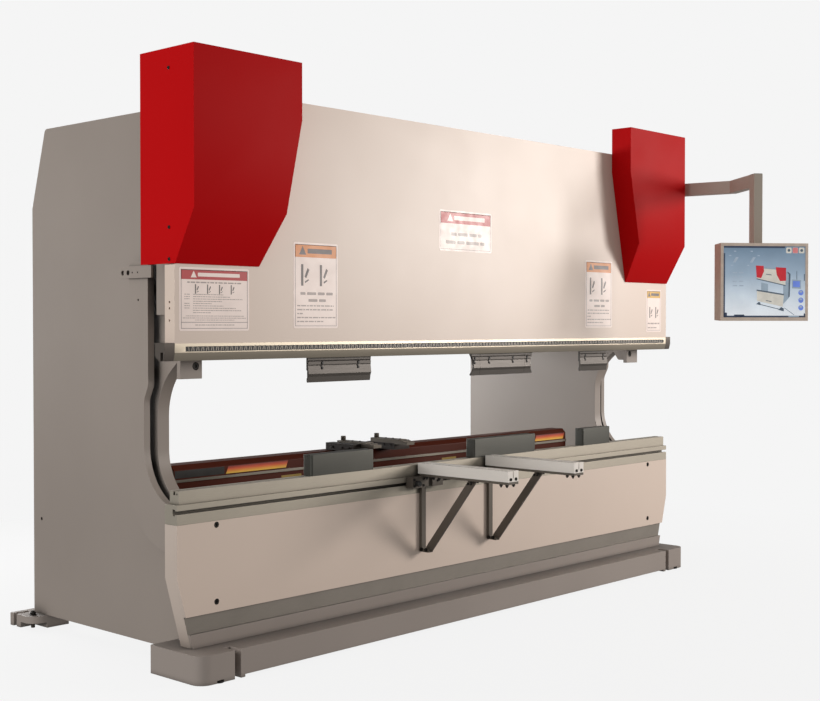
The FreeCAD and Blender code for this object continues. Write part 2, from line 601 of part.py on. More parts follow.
def piston_rods():
    rods = []
    for side, sign in SIDES:
        place = (signed(sign, "cyl_x"), "cyl_y")
        foot = box(f"rod_foot_{side}",
                   (f"{place[0]} - foot_plate_half", f"{place[0]} + foot_plate_half"),
                   ("ram_front", "ram_back"), ("ram_shelf", "foot_plate_high"))
        shaft = cylinder(f"rod_shaft_{side}", "z", "rod_r", ("ram_shelf", "piston_high"), place)
        head = cylinder(f"piston_{side}", "z", "bore_r - fit_gap",
                        ("piston_low", "piston_high"), place)
        rods.append(fuse(f"rod_{side}", foot, shaft, head))
    part("piston_rods", group("piston_rods", rods))


# ---------------------------------------------------------------- ram

def ram():
    points = [("-ram_half", "ram_low"), ("ram_half", "ram_low"), ("ram_half", "ram_shelf"),
              ("ram_neck", "ram_shelf"), ("ram_neck", "ram_high"), ("-ram_neck", "ram_high"),
              ("-ram_neck", "ram_shelf"), ("-ram_half", "ram_shelf")]
    plate = prism("ram_blank", "y", points, "ram_front", "ram_back")
    drills = []
    for side, sign in SIDES:
        span = between(sign, "ram_half - ram_hole_deep", "ram_half")
        drills += [cylinder(f"ram_drill_{side}_{i}", "x", "ram_hole_r", span, ("ram_hole_y", z))
                   for i, z in enumerate(("ram_hole_z1", "ram_hole_z2", "ram_hole_z3"))]
    part("ram_plate", cut("ram_plate", plate, *drills))


def clamp_points(rise="0"):
    return [("ram_front", f"ram_low + {rise}"), ("ram_back", f"ram_low + {rise}"),
            ("ram_back", "clamp_rear_z"), ("clamp_rear_y", "clamp_low"),
            ("tang_back", "clamp_low"), ("tang_back", "tang_high"),
            ("tang_front", "tang_high"), ("tang_front", "clamp_low"),
            ("clamp_bevel_y", "clamp_low"), ("ram_front", "clamp_bevel_z")]


def clamp():
    bar = prism("clamp_blank", "x", clamp_points(), "-ram_half", "ram_half")
    strip = box("clamp_strip", ("strip_start", "strip_end"),
                ("ram_front", "ram_front + strip_deep"), ("strip_low", "strip_high"))
    part("clamp_bar", cut("clamp_bar", bar, strip))
    caps = []
    for side, sign in SIDES:
        span = between(sign, "ram_half", "cap_out")
        caps.append(prism(f"clamp_cap_{side}", "x", clamp_points("cap_rise"), *span))
    part("clamp_caps", group("clamp_caps", caps))


def punch_points():
    front, back = "tang_front + tang_gap", "tang_back - tang_gap"
    brow = "punch_front + brow_deep"
    return [(front, "tang_high - tang_gap"), (back, "tang_high - tang_gap"),
            (back, "clamp_low"), ("punch_back", "clamp_low"), ("punch_back", "heel_high"),
            ("heel_y", "heel_high - heel_slope"), ("heel_y", "bead_high + heel_slope"),
            ("bead_back", "bead_high"), ("bead_back", "bead_low"), ("tip_back", "punch_low"),
            ("tip_front", "punch_low"), ("chin_y", "chin_z"), ("belly_y", "belly_z"),
            (brow, "brow_low"), ("punch_front", "brow_z"), ("punch_front", "groove_low"),
            ("punch_front + groove_deep", "(groove_low + groove_high) / 2"),
            ("punch_front", "groove_high"), ("punch_front", "clamp_low"), (front, "clamp_low")]


def punch(name, low, high, bites=()):
    """One punch section; bites hollow its ends out."""
    blank = prism(f"{name}_blank", "x", punch_points(), low, high)
    tools = [cylinder(f"{name}_bite_{i}", "y", "horn_r", ("0", "ram_back"),
                      (x, "(punch_low + clamp_low) / 2"))
             for i, x in enumerate(bites)]
    return cut(name, blank, *tools) if tools else blank


def punches():
    reach = "(horn_r - horn_bite)"
    sections = [punch("punch_1", "die1_low", "die1_high"),
                punch("punch_2a", "die2_low", "horn1", [f"die2_low - {reach}"]),
                punch("punch_2b", "horn1 + 1", "horn2 - 1"),
                punch("punch_2c", "horn2", "die2_high", [f"die2_high + {reach}"]),
                punch("punch_3", "die3_low", "die3_high")]
    part("punches", group("punches", sections))


def guides():
    blocks = []
    brackets = []
    gibs = []
    for side, sign in SIDES:
        x = between(sign, "guide_in", "guide_out")
        block = box(f"guide_blank_{side}", x, ("guide_front", "frame_front"),
                    ("guide_low", "guide_high"))
        holes = [cylinder(f"guide_hole_{side}_{i}", "y", "guide_bolt_r + bolt_gap",
                          ("guide_front", "frame_front"), (signed(sign, "guide_bolt_x"), z))
                 for i, z in enumerate(("guide_bolt_z", "guide_bolt_z2"))]
        blocks.append(cut(f"guide_block_{side}", block, *holes))
        brackets.append(box(f"guide_bracket_{side}", between(sign, "frame_out", "guide_out"),
                            ("frame_front", "bracket_back"), ("bracket_low", "bracket_high")))
        gibs.append(box(f"gib_{side}", between(sign, "gib_in", "gib_out"),
                        ("ram_back", "guide_front - gib_gap"), ("gib_low", "gib_high")))
    part("guide_blocks", group("guide_blocks", blocks))
    part("guide_brackets", group("guide_brackets", brackets))
    part("ram_guides", group("ram_guides", gibs))


# ---------------------------------------------------------------- covers

def cover_body(name, sign, wall, back, bottom):
    """The cover's outer form, or with a wall thickness the room inside it."""
    slope = "((cover_lip - cover_front) / (cover_knee_z - cover_low))"
    slant = f"sqrt(1 + {slope} ^ 2)"
    low_y = f"cover_lip + {wall} * {slant} + (cover_low - ({bottom})) * {slope}"
    side_points = [(f"cover_front + {wall}", f"cover_high - {wall}"), (back, f"cover_high - {wall}"),
                   (back, bottom), (low_y, bottom),
                   (f"cover_front + {wall}", f"cover_knee_z + {wall} * ({slant} - {slope})")]
    profile = prism(f"{name}_side", "x", side_points,
                    *between(sign, f"cover_in + {wall}", f"ram_half - {wall}"))
    edges = [(f"ram_half - {wall}", f"cover_high - {wall}"),
             (f"cover_in + {wall}", f"cover_high - {wall}"), (f"cover_in + {wall}", "cover_bend_z"),
             (f"cover_knee_x + {wall}", "cover_knee_z"), (f"cover_low_x + {wall}", bottom),
             (f"ram_half - {wall}", bottom)]
    face = prism(f"{name}_face", "y", [(signed(sign, x), z) for x, z in edges],
                 "cover_front", "cover_back + 2 * cover_wall")
    return common(name, profile, face)


def cover(side, sign):
    outer = cover_body(f"cover_form_{side}", sign, "0", "cover_back", "cover_low")
    room = cover_body(f"cover_room_{side}", sign, "cover_wall", "cover_back + cover_wall",
                      "cover_low - cover_wall")
    trim = box(f"cover_trim_{side}",
               between(sign, "cover_in - cover_wall", "cover_step_x"),
               ("cover_trim", "cover_back + cover_wall"),
               ("cover_low - cover_wall", "cover_high + cover_wall"))
    shell = cut(f"cover_shell_{side}", outer, room, trim)
    tabs = [box(f"cover_tab_{side}_{i}", between(sign, "frame_out", "ram_half - cover_wall"),
                ("tab_front", "tab_back"), (z, f"{z} + tab_tall"))
            for i, z in enumerate(("tab_z1", "tab_z2"))]
    part(f"cover_{side}", fuse(f"cover_{side}", shell, *tabs))


def cover_screws():
    screws = []
    for side, sign in SIDES:
        span = between(sign, "ram_half", "ram_half + screw_tall")
        screws += [cylinder(f"cover_screw_{side}_{i}", "x", "screw_r", span, ("screw_y", z))
                   for i, z in enumerate(("screw_z1", "screw_z2", "screw_z3"))]
    part("cover_screws", group("cover_screws", screws))


# ---------------------------------------------------------------- back gauge

def back_gauge():
    ways = []
    saddles = []
    lifts = []
    for side, sign in SIDES:
        middle = signed(sign, "way_x")
        def wide(half):
            return (f"{middle} - ({half})", f"{middle} + ({half})")
        ways.append(box(f"way_{side}", wide("way_half"), ("bed_back", "low_tie_back"),
                        ("way_low", "way_high")))
        saddle = box(f"saddle_{side}", wide("saddle_half"), ("saddle_front", "saddle_back"),
                     ("way_high + run_gap", "saddle_high"))
        post = box(f"post_{side}", wide("post_half"), ("post_front", "post_back"),
                   ("saddle_high", "post_high"))
        saddles.append(fuse(f"saddle_post_{side}", saddle, post))
        lift = box(f"lift_{side}", wide("lift_half"), ("beam_back", "lift_back"),
                   ("lift_low", "lift_high"))
        hole = box(f"lift_hole_{side}", wide("post_half + run_gap"),
                   ("post_front - run_gap", "post_back + run_gap"), ("lift_low", "lift_high"))
        lifts.append(cut(f"lift_block_{side}", lift, hole))
    part("gauge_rails", group("gauge_rails", ways))
    part("gauge_carriages", group("gauge_carriages", saddles))
    part("gauge_lifts", group("gauge_lifts", lifts))
    points = [("beam_front", "beam_low"), ("beam_back", "beam_low"), ("beam_back", "beam_high"),
              ("beam_front + beam_chamfer", "beam_high"),
              ("beam_front", "beam_high - beam_chamfer"), ("beam_front", "rib_high"),
              ("beam_front - rib_out", "rib_high"), ("beam_front - rib_out", "rib_low"),
              ("beam_front", "rib_low")]
    part("gauge_beam", prism("gauge_beam", "x", points, "-beam_half", "beam_half"))


def finger(side, low, blade_x):
    """A block that runs on the beam, with a stepped blade let into its top."""
    inner = (blade_x, f"{blade_x} + blade_wide")
    run = "beam_high + run_gap"
    outline = [("finger_back", run), ("finger_back", "block_high"), ("block_front", "block_high"),
               ("block_front", "block_low"), ("block_heel", "block_low"), ("block_heel", run)]
    block = prism(f"block_blank_{side}", "x", outline, low, f"{low} + finger_wide")
    pocket = box(f"block_pocket_{side}", inner, ("block_front", "finger_back"),
                 ("blade_seat", "block_high"))
    part(f"finger_block_{side}", cut(f"finger_block_{side}", block, pocket))
    step1, step2 = "finger_high - finger_step", "finger_high - 2 * finger_step"
    points = [("blade_back", "blade_seat"), ("blade_back", "finger_high"),
              ("step_y1", "finger_high"), ("step_y1", step1), ("step_y2", step1),
              ("step_y2", step2), ("finger_tip", step2), ("finger_tip", "blade_low"),
              ("block_front", "blade_low"), ("block_front", "blade_seat")]
    blade = prism(f"finger_blade_{side}", "x", points, *inner)
    thumb = cylinder(f"finger_thumb_{side}", "z", "thumb_r",
                     ("finger_high", "finger_high + thumb_tall"),
                     (f"{blade_x} + blade_wide / 2", "thumb_y"))
    part(f"finger_{side}", fuse(f"finger_{side}", blade, thumb))


# ---------------------------------------------------------------- support arms

def support_arm(side, low):
    middle = f"{low} + arm_wide / 2"
    high = f"{low} + arm_wide"
    slot = (f"{middle} - arm_slot / 2", f"{middle} + arm_slot / 2")
    floor = "arm_high - arm_slot_deep"
    points = [(low, "arm_low"), (high, "arm_low"), (high, "arm_high"), (slot[1], "arm_high"),
              (slot[1], floor), (slot[0], floor), (slot[0], "arm_high"), (low, "arm_high")]
    bar = prism(f"arm_blank_{side}", "y", points, "arm_front", "arm_rear")
    bores = [cylinder(f"arm_bore_{side}_{i}", "y", "arm_bore_r", ("arm_front", "arm_rear"),
                      (f"{middle} + {sign} * arm_bore_x", "arm_bore_z"))
             for i, sign in enumerate((-1, 1))]
    part(f"arm_bar_{side}", cut(f"arm_bar_{side}", bar, *bores))

    tray = box(f"tray_{side}", (low, high), ("arm_front", "tray_rear"), ("tray_low", "arm_low"))
    x = (f"{low} + strut_in", f"{low} + strut_in + strut_wide")
    strut = box(f"strut_{side}", x, ("strut_front", "strut_back"), ("strut_low", "strut_high"))
    brace_points = [("brace_heel", "strut_low"), ("brace_foot", "strut_low"),
                    ("brace_y - brace_deep", "tray_low"), ("brace_y", "tray_low"),
                    ("brace_heel", "strut_low + brace_rise")]
    brace = prism(f"brace_{side}", "x", brace_points, f"{low} + brace_in",
                  f"{low} + brace_in + brace_thick")
    shoe = box(f"shoe_{side}", x, ("brace_foot", "strut_front"),
               ("strut_low", "strut_low + shoe_rise"))
    knee = fuse(f"knee_{side}", strut, brace, shoe)
    part(f"arm_frame_{side}", group(f"arm_frame_{side}", [tray, knee]))

    left, right = f"{low} - slide_left", f"{low} + slide_right"
    z = ("slide_low", "tray_low")
    plate = box(f"slide_plate_{side}", (left, right), ("slide_plate", "-run_gap"), z)
    block1 = box(f"slide_block1_{side}", (left, f"{left} + block1_wide"),
                 ("slide_front", "slide_plate"), z)
    block2 = box(f"slide_block2_{side}", (f"{low} + block2_in", f"{low} + block2_in + block2_wide"),
                 ("slide_front", "slide_plate"), z)
    middle_block = box(f"slide_middle_{side}", (f"{left} + block1_wide", f"{low} + block2_in"),
                       ("middle_front", "slide_plate"), z)
    nut_x = (f"{left} + nut_in", f"{right} - nut_in")
    neck = box(f"nut_neck_{side}", nut_x, ("slide_plate", "slot_back - nut_gap"),
               ("slot_z - slot_mouth / 2 + nut_gap", "slot_z + slot_mouth / 2 - nut_gap"))
    nut = box(f"nut_{side}", nut_x, ("slot_neck + nut_gap", "slot_back - nut_gap"),
              ("slot_z - slot_wide / 2 + nut_gap", "slot_z + slot_wide / 2 - nut_gap"))
    knob_place = (f"{low} - knob_x", "knob_z")
    stem_hole = cylinder(f"stem_hole_{side}", "y", "knob_stem_r + fit_gap",
                         ("slide_front", "slide_plate"), knob_place)
    body = fuse(f"slide_body_{side}", plate, block1, middle_block, block2, neck, nut)
    part(f"arm_carriage_{side}", cut(f"arm_carriage_{side}", body, stem_hole))

    knob = cylinder(f"knob_head_{side}", "y", "knob_r",
                    ("knob_front", "slide_front - run_gap"), knob_place)
    stem = cylinder(f"knob_stem_{side}", "y", "knob_stem_r",
                    ("knob_front", "slide_plate - run_gap"), knob_place)
    part(f"arm_knob_{side}", fuse(f"arm_knob_{side}", knob, stem))


# ---------------------------------------------------------------- pendant

def boom_bracket():
    place = ("pivot_x", "pivot_y")
    ears = []
    for i, (low, high) in enumerate((("hub_low - bracket_gap - ear_thick", "hub_low - bracket_gap"),
                                     ("hub_high + bracket_gap", "hub_high + bracket_gap + ear_thick"))):
        arm = box(f"ear_{i}", ("frame_out", "pivot_x"),
                  ("pivot_y - ear_half", "pivot_y + ear_half"), (low, high))
        end = cylinder(f"ear_end_{i}", "z", "ear_half", (low, high), place)
        ears += [arm, end]
    back = box("ear_back", ("frame_out", "frame_out + ear_thick"),
               ("pivot_y - ear_half", "pivot_y + ear_half"),
               ("hub_low - bracket_gap - ear_thick", "hub_high + bracket_gap + ear_thick"))
    pin = cylinder("boom_pin", "z", "pin_r",
                   ("hub_low - bracket_gap - ear_thick", "hub_high + bracket_gap + ear_thick"),
                   place)
    part("boom_bracket", fuse("boom_bracket", *ears, back, pin))


def boom_shape():
    """Hub, two mitred runs of tube, the drop tube and its round spigot."""
    pivot = V(number("pivot_x"), number("pivot_y"), 0)
    elbow = V(number("elbow_x"), number("elbow_y"), 0)
    drop = V(number("drop_x"), number("drop_y"), 0)
    half = number("tube_wide") / 2
    low, high = number("tube_low"), number("tube_high")
    first = (elbow - pivot).normalize()
    second = (drop - elbow).normalize()
    across1 = V(-first.y, first.x, 0)
    across2 = V(-second.y, second.x, 0)
    mitre = (across1 + across2) * (half / (1 + across1.dot(across2)))
    tip = drop + second * (number("tube_deep") / 2)
    ring = [pivot + across1 * half, elbow + mitre, tip + across2 * half,
            tip - across2 * half, elbow - mitre, pivot - across1 * half]
    run = Part.Face(Part.makePolygon([p + V(0, 0, low) for p in ring + ring[:1]]))
    run = run.extrude(V(0, 0, high - low))
    heel = drop - second * (number("tube_deep") / 2)
    leg = [tip + across2 * half, heel + across2 * half, heel - across2 * half,
           tip - across2 * half]
    bottom = number("drop_low")
    leg_face = Part.Face(Part.makePolygon([p + V(0, 0, bottom) for p in leg + leg[:1]]))
    leg_solid = leg_face.extrude(V(0, 0, high - bottom))
    spigot = Part.makeCylinder(number("spigot_r"), bottom - number("spigot_low"),
                               drop + V(0, 0, number("spigot_low")))
    hub_low, hub_high = number("hub_low"), number("hub_high")
    hub = Part.makeCylinder(number("hub_r"), hub_high - hub_low, pivot + V(0, 0, hub_low))
    bore = Part.makeCylinder(number("pin_r + fit_gap"), hub_high - hub_low,
                             pivot + V(0, 0, hub_low))
    return run.fuse([leg_solid, spigot, hub]).cut(bore).removeSplitter()


def turned(thing):
    """Places a piece built round the drop tube's axis at its turned position."""
    thing.Placement = FreeCAD.Placement(V(), FreeCAD.Rotation(V(0, 0, 1), number("screen_angle")))
    thing.setExpression("Placement.Base.x", formula("drop_x"))
    thing.setExpression("Placement.Base.y", formula("drop_y"))
    return thing


def pendant():
    boom = doc.addObject("Part::Feature", "boom_arm")
    boom.Shape = boom_shape()
    part("boom_arm", boom)

    points = [("case_front", "case_low"), ("case_back", "case_low + case_taper"),
              ("case_back", "case_high - case_taper"), ("case_front", "case_high")]
    case = prism("case_body", "x", points, "-case_half", "case_half")
    x = ("-case_half + glass_side", "case_half - glass_side")
    recess = box("glass_recess", x, ("case_front", "case_front + glass_deep"),
                 ("glass_low", "glass_high"))
    yoke = box("yoke", ("-yoke_half", "yoke_half"), ("case_back", "yoke_back"),
               ("yoke_low", "yoke_high"))
    bore = cylinder("yoke_bore", "z", "spigot_r + fit_gap", ("yoke_low", "yoke_high"), ("0", "0"))
    shell = cut("case_shell", fuse("case_yoke", case, yoke), recess, bore)
    part("monitor_case", turned(shell))
    glass = box("glass", x, ("case_front + 1", "case_front + glass_deep"),
                ("glass_low", "glass_high"))
    holder = fuse("monitor_screen", glass, box("glass_back", x,
                  ("case_front + 2", "case_front + glass_deep"), ("glass_low", "glass_high")))
    part("monitor_screen", turned(holder))


# ---------------------------------------------------------------- cabinet

def cabinet():
    shell = box("cab_shell", ("cab_in", "frame_in"), ("cab_front", "cab_back"),
                ("cab_low", "cab_high"))
    room = box("cab_room", ("cab_in + cab_wall", "frame_in - cab_wall"),
               ("cab_front + cab_wall", "cab_back"),
               ("cab_low + cab_wall", "cab_high - cab_wall"))
    back = "cab_back + door_gap + door_thick"
    axis = ("cab_in + door_gap", back)
    fixed, swinging = [], []
    for i, z in enumerate(("cab_low + hinge_tall", "cab_high - 3 * hinge_tall")):
        leaf_z = (z, f"{z} + hinge_tall")
        fixed += [cylinder(f"knuckle_{i}", "z", "hinge_r", leaf_z, axis),
                  box(f"leaf_{i}", ("cab_in - hinge_leaf", "cab_in"),
                      ("cab_back - hinge_tall", back), leaf_z)]
        swinging.append(cylinder(f"door_knuckle_{i}", "z", "hinge_r",
                                 (f"{z} + hinge_tall + door_gap", f"{z} + 2 * hinge_tall"),
                                 axis))
    body = cut("cab_body", shell, room)
    relief = [box(f"hinge_relief_{i}", ("cab_in", "cab_in + 2 * hinge_r"),
                  ("cab_back + door_gap", back), (z, f"{z} + hinge_tall + door_gap"))
              for i, z in enumerate(("cab_low + hinge_tall - door_gap",
                                     "cab_high - 3 * hinge_tall - door_gap"))]
    part("electrical_cabinet", fuse("electrical_cabinet", body, *fixed))
    panel = box("door_panel", ("cab_in + door_gap", "frame_in - 3 * door_gap"),
                ("cab_back + door_gap", back), ("cab_low + door_gap", "cab_high - door_gap"))
    latch = cylinder("door_latch", "y", "latch_r", (back, f"{back} + latch_r"),
                     ("frame_in - latch_in", "(cab_low + cab_high) / 2"))
    notched = cut("door_notched", panel, *relief)
    part("cabinet_door", fuse("cabinet_door", notched, latch, *swinging))


# ---------------------------------------------------------------- build

for side, sign in SIDES:
    side_frame(side, sign)
    outer_plate(side, sign)
    rear_foot(side, sign)
    lift_cylinder(side, sign)
    cover(side, sign)
spacers()
scale_brackets()
base_beam()
jack_screws()
cross_members()
bed()
bed_rail()
die_rail()
lower_dies()
frame_bolts()
tank()
power_pack()
oil_pipes()
glands()
piston_rods()
ram()
clamp()
punches()
guides()
cover_screws()
back_gauge()
finger("left", "finger1_x", "finger1_x + finger_wide - blade_wide")
finger("right", "finger2_x", "finger2_x")
support_arm("left", "arm1_x")
support_arm("right", "arm2_x")
boom_bracket()
pendant()
cabinet()
doc.recompute()

for thing in doc.Objects:
    if "Invalid" in thing.State or "Error" in thing.State:
        raise RuntimeError(f"{thing.Name} did not build: {thing.State}")
os.makedirs("parts", exist_ok=True)
for thing in PARTS:
    if thing.Shape.isNull() or not thing.Shape.isValid():
        raise RuntimeError(f"{thing.Label} has no sound shape")
    thing.Shape.exportStep(f"parts/{thing.Label}.step")
print(len(PARTS), "parts written")
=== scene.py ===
"""Looks for the hydraulic press brake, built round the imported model.  Metres."""

import json
import math

import bmesh
import bpy
from mathutils import Matrix, Vector


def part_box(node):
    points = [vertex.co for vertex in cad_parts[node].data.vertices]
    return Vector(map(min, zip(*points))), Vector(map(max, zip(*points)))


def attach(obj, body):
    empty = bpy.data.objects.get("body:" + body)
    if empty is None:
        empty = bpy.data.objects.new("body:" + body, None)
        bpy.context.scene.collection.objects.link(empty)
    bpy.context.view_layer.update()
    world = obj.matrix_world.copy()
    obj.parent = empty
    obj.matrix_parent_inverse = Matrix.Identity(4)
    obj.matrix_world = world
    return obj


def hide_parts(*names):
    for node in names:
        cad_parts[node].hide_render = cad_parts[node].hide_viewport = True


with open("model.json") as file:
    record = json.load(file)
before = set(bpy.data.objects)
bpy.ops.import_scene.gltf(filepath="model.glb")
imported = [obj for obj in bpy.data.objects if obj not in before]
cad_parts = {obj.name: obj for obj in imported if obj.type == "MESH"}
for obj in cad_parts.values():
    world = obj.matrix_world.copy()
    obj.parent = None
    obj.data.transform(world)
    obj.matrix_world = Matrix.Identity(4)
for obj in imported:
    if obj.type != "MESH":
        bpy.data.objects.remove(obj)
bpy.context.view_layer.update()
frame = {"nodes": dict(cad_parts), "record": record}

MM = 0.001
SIDES = (("left", -1), ("right", 1))
AXES = {"x": 0, "y": 1, "z": 2}
CREASE = 35  # degrees; flatter edges are shaded smooth and not bevelled


# ---------------- colours and materials

def shade(code):
    """A hex colour as linear light."""
    values = [int(code[i:i + 2], 16) / 255 for i in (1, 3, 5)]
    linear = [v / 12.92 if v <= 0.04045 else ((v + 0.055) / 1.055) ** 2.4 for v in values]
    return (*linear, 1.0)


def scaled(colour, factor):
    """A linear colour made darker or lighter."""
    return (*(min(1.0, c * factor) for c in colour[:3]), 1.0)


class Nodes:
    """A short way to build the node tree of a material or a world."""

    def __init__(self, name, kind="materials", shader="Principled BSDF"):
        self.block = getattr(bpy.data, kind).new(name)
        self.block.use_nodes = True
        self.tree = self.block.node_tree
        self.shader = self.tree.nodes[shader]

    def add(self, kind, **settings):
        node = self.tree.nodes.new(f"ShaderNode{kind}")
        for key, value in settings.items():
            if hasattr(node, key):
                setattr(node, key, value)
            else:
                node.inputs[key.replace("_", " ")].default_value = value
        return node

    def link(self, source, target):
        self.tree.links.new(source, target)

    def place(self, stretch=(1, 1, 1)):
        """Position on the piece, in metres, stretched per axis."""
        mapping = self.add("Mapping", Scale=stretch)
        self.link(self.add("TexCoord").outputs["Object"], mapping.inputs["Vector"])
        return mapping.outputs["Vector"]

    def noise(self, scale, detail=2.0, stretch=(1, 1, 1)):
        node = self.add("TexNoise", Scale=scale, Detail=detail)
        self.link(self.place(stretch), node.inputs["Vector"])
        return node.outputs["Fac"]

    def between(self, factor, low, high, at=(0.35, 0.65)):
        """A number that moves from low to high as factor crosses the range."""
        node = self.add("MapRange", From_Min=at[0], From_Max=at[1], To_Min=low, To_Max=high)
        self.link(factor, node.inputs["Value"])
        return node.outputs["Result"]

    def mix(self, factor, first, second):
        """Two colours blended; sockets 6, 7 and 2 are the node's colours."""
        node = self.add("Mix", data_type="RGBA")
        self.feed(factor, node.inputs["Factor"])
        self.feed(first, node.inputs[6])
        self.feed(second, node.inputs[7])
        return node.outputs[2]

    def times(self, first, second):
        node = self.add("Math", operation="MULTIPLY")
        self.feed(first, node.inputs[0])
        self.feed(second, node.inputs[1])
        return node.outputs[0]

    def feed(self, value, target):
        if isinstance(value, bpy.types.NodeSocket):
            self.link(value, target)
        else:
            target.default_value = value

    def edges(self, radius=0.004):
        """1 near a corner of the mesh and 0 on the flat."""
        dot = self.add("VectorMath", operation="DOT_PRODUCT")
        self.link(self.add("Bevel", samples=4, Radius=radius).outputs["Normal"], dot.inputs[0])
        self.link(self.add("NewGeometry").outputs["Normal"], dot.inputs[1])
        return self.between(dot.outputs["Value"], 1.0, 0.0, (0.80, 0.985))

    def crevices(self, reach=0.09):
        """1 in narrow gaps and inner corners, 0 on open faces: the mask for painted shade."""
        near = self.add("AmbientOcclusion", samples=6, Distance=reach)
        return self.between(near.outputs["AO"], 1.0, 0.0, (0.25, 0.85))

    def facing_up(self):
        """1 on faces that look up, 0 on the others."""
        split = self.add("SeparateXYZ")
        self.link(self.add("NewGeometry").outputs["Normal"], split.inputs[0])
        return self.between(split.outputs["Z"], 0.0, 1.0, (0.5, 0.9))

    def bump(self, height, strength, distance):
        node = self.add("Bump", Strength=strength, Distance=distance)
        self.link(height, node.inputs["Height"])
        self.link(node.outputs["Normal"], self.shader.inputs["Normal"])

    def glow(self, colour, strength):
        if strength:
            self.link(colour, self.shader.inputs["Emission Color"])
            self.shader.inputs["Emission Strength"].default_value = strength

    def set(self, **values):
        for key, value in values.items():
            self.feed(value, self.shader.inputs[key.replace("_", " ")])
        return self.block

    def blend(self, factor, first, second, target):
        """Two shaders mixed and sent to the output node."""
        mix = self.add("MixShader")
        for source, socket in zip((factor, first, second), mix.inputs):
            self.link(source, socket)
        self.link(mix.outputs[0], self.tree.nodes[target].inputs["Surface"])


def paint(name, code, rough, wear=0.25, drift=0.035, shine=0.5, patchy=0.035, painted_shade=0.0,
          reach=0.09, painted_top_shade=0.0):
    """Sprayed enamel: slow colour drift, orange peel, edges rubbed paler.

    Painted shade darkens gaps narrower than reach; painted shade also darkens sheltered upward
    faces.
    """
    n = Nodes(name)
    base = shade(code)
    specked, rubbed = 0.82, 1.45  # shares of the base colour
    slow = n.between(n.noise(1.3, 3.0), 0.0, 1.0)
    colour = n.mix(slow, scaled(base, 1 - drift), scaled(base, 1 + drift))
    speck = n.between(n.noise(900, 1.0), 0.0, 0.10, (0.6, 0.8))
    colour = n.mix(speck, colour, scaled(base, specked))
    rub = n.times(n.edges(), n.between(n.noise(14, 4.0), 0.0, wear, (0.42, 0.6)))
    colour = n.mix(rub, colour, scaled(base, rubbed))
    # painted shade: darkens gaps narrower than reach
    if painted_shade:
        colour = n.mix(n.crevices(reach), colour, scaled(base, 1 - painted_shade))
    # painted shade: darkens upward faces sheltered by nearby parts
    if painted_top_shade:
        sheltered = n.between(n.crevices(0.30), 0.25, 1.0, (0.0, 0.75))
        colour = n.mix(n.times(n.facing_up(), sheltered), colour, scaled(base, 1 - painted_top_shade))
    n.bump(n.noise(260, 2.0), 0.05, 0.0004)
    rough_map = n.between(n.noise(3.0, 4.0), rough - patchy, rough + patchy)
    n.shader.inputs["Specular IOR Level"].default_value = shine
    return n.set(Base_Color=colour, Roughness=rough_map)


def metal(name, code, rough, grain=(1, 60, 60), scale=22, depth=0.04, stain=0.15,
          metallic=1.0, wear=0.5, streak=0.05, shaded_below=None, painted_shade=0.0):
    """Machined metal: fine lines along one axis, faint stains, bright worn edges.

    Below the height shaded_below, in metres, the metal is darkened as painted shade.
    """
    n = Nodes(name)
    base = shade(code)
    stained, worn, shaded = 0.62, 1.6, 0.40  # shares of the base colour
    lines = n.noise(scale, 6.0, grain)
    colour = n.mix(n.between(lines, 0.0, 1.0), scaled(base, 1 - streak), scaled(base, 1 + streak))
    cloud = n.between(n.noise(5.0, 5.0), 0.0, stain, (0.45, 0.75))
    colour = n.mix(cloud, colour, scaled(base, stained))
    colour = n.mix(n.times(n.edges(0.002), wear), colour, scaled(base, worn))
    # painted shade: darkens narrow gaps and inner corners
    if painted_shade:
        colour = n.mix(n.crevices(0.03), colour, scaled(base, 1 - painted_shade))
    # painted shade: darker below a height, for a face turned down from the light
    if shaded_below:
        split = n.add("SeparateXYZ")
        n.link(n.place(), split.inputs[0])
        level = n.between(split.outputs["Z"], 0.0, 1.0, (shaded_below, shaded_below + 0.001))
        colour = n.mix(level, scaled(base, shaded), colour)
    n.bump(lines, depth, 0.0003)
    rough_map = n.between(n.noise(9.0, 4.0, grain), rough - 0.02, rough + 0.03)
    return n.set(Base_Color=colour, Roughness=rough_map, Metallic=metallic)


def plastic(name, code, rough, grit=0.08, glow=0.0):
    """Moulded plastic with a fine grit; glow lights it like a display."""
    n = Nodes(name)
    base = shade(code)
    colour = n.mix(n.between(n.noise(30, 3.0), 0.0, 1.0), scaled(base, 0.94), scaled(base, 1.06))
    n.bump(n.noise(1200, 2.0), grit, 0.0002)
    rough_map = n.between(n.noise(40, 2.0), rough - 0.03, rough + 0.03)
    n.glow(colour, glow)
    return n.set(Base_Color=colour, Roughness=rough_map)


def printed(name, code):
    """Printed vinyl, a little faded in patches."""
    n = Nodes(name)
    base = shade(code)
    colour = n.mix(n.between(n.noise(8, 4.0), 0.0, 1.0), scaled(base, 0.95), scaled(base, 1.05))
    n.bump(n.noise(500, 2.0), 0.03, 0.0002)
    return n.set(Base_Color=colour, Roughness=n.between(n.noise(20, 2), 0.34, 0.43))


def ramp_print(name, low, high, stops, glow=0.0):
    """Vinyl printed with colours that blend upwards, between two heights in metres."""
    n = Nodes(name)
    split = n.add("SeparateXYZ")
    n.link(n.place(), split.inputs[0])
    ramp = n.add("ValToRGB")
    n.link(n.between(split.outputs["Z"], 0.0, 1.0, (low, high)), ramp.inputs["Fac"])
    elements = ramp.color_ramp.elements
    while len(elements) < len(stops):
        elements.new(0.5)
    for element, (position, code) in zip(elements, stops):
        element.position = position
        element.color = shade(code)
    fade = n.between(n.noise(8, 4.0), 0.0, 0.12)
    colour = n.mix(fade, ramp.outputs["Color"], shade("#202020"))
    n.glow(colour, glow)
    return n.set(Base_Color=colour, Roughness=n.between(n.noise(20, 2), 0.34, 0.42))
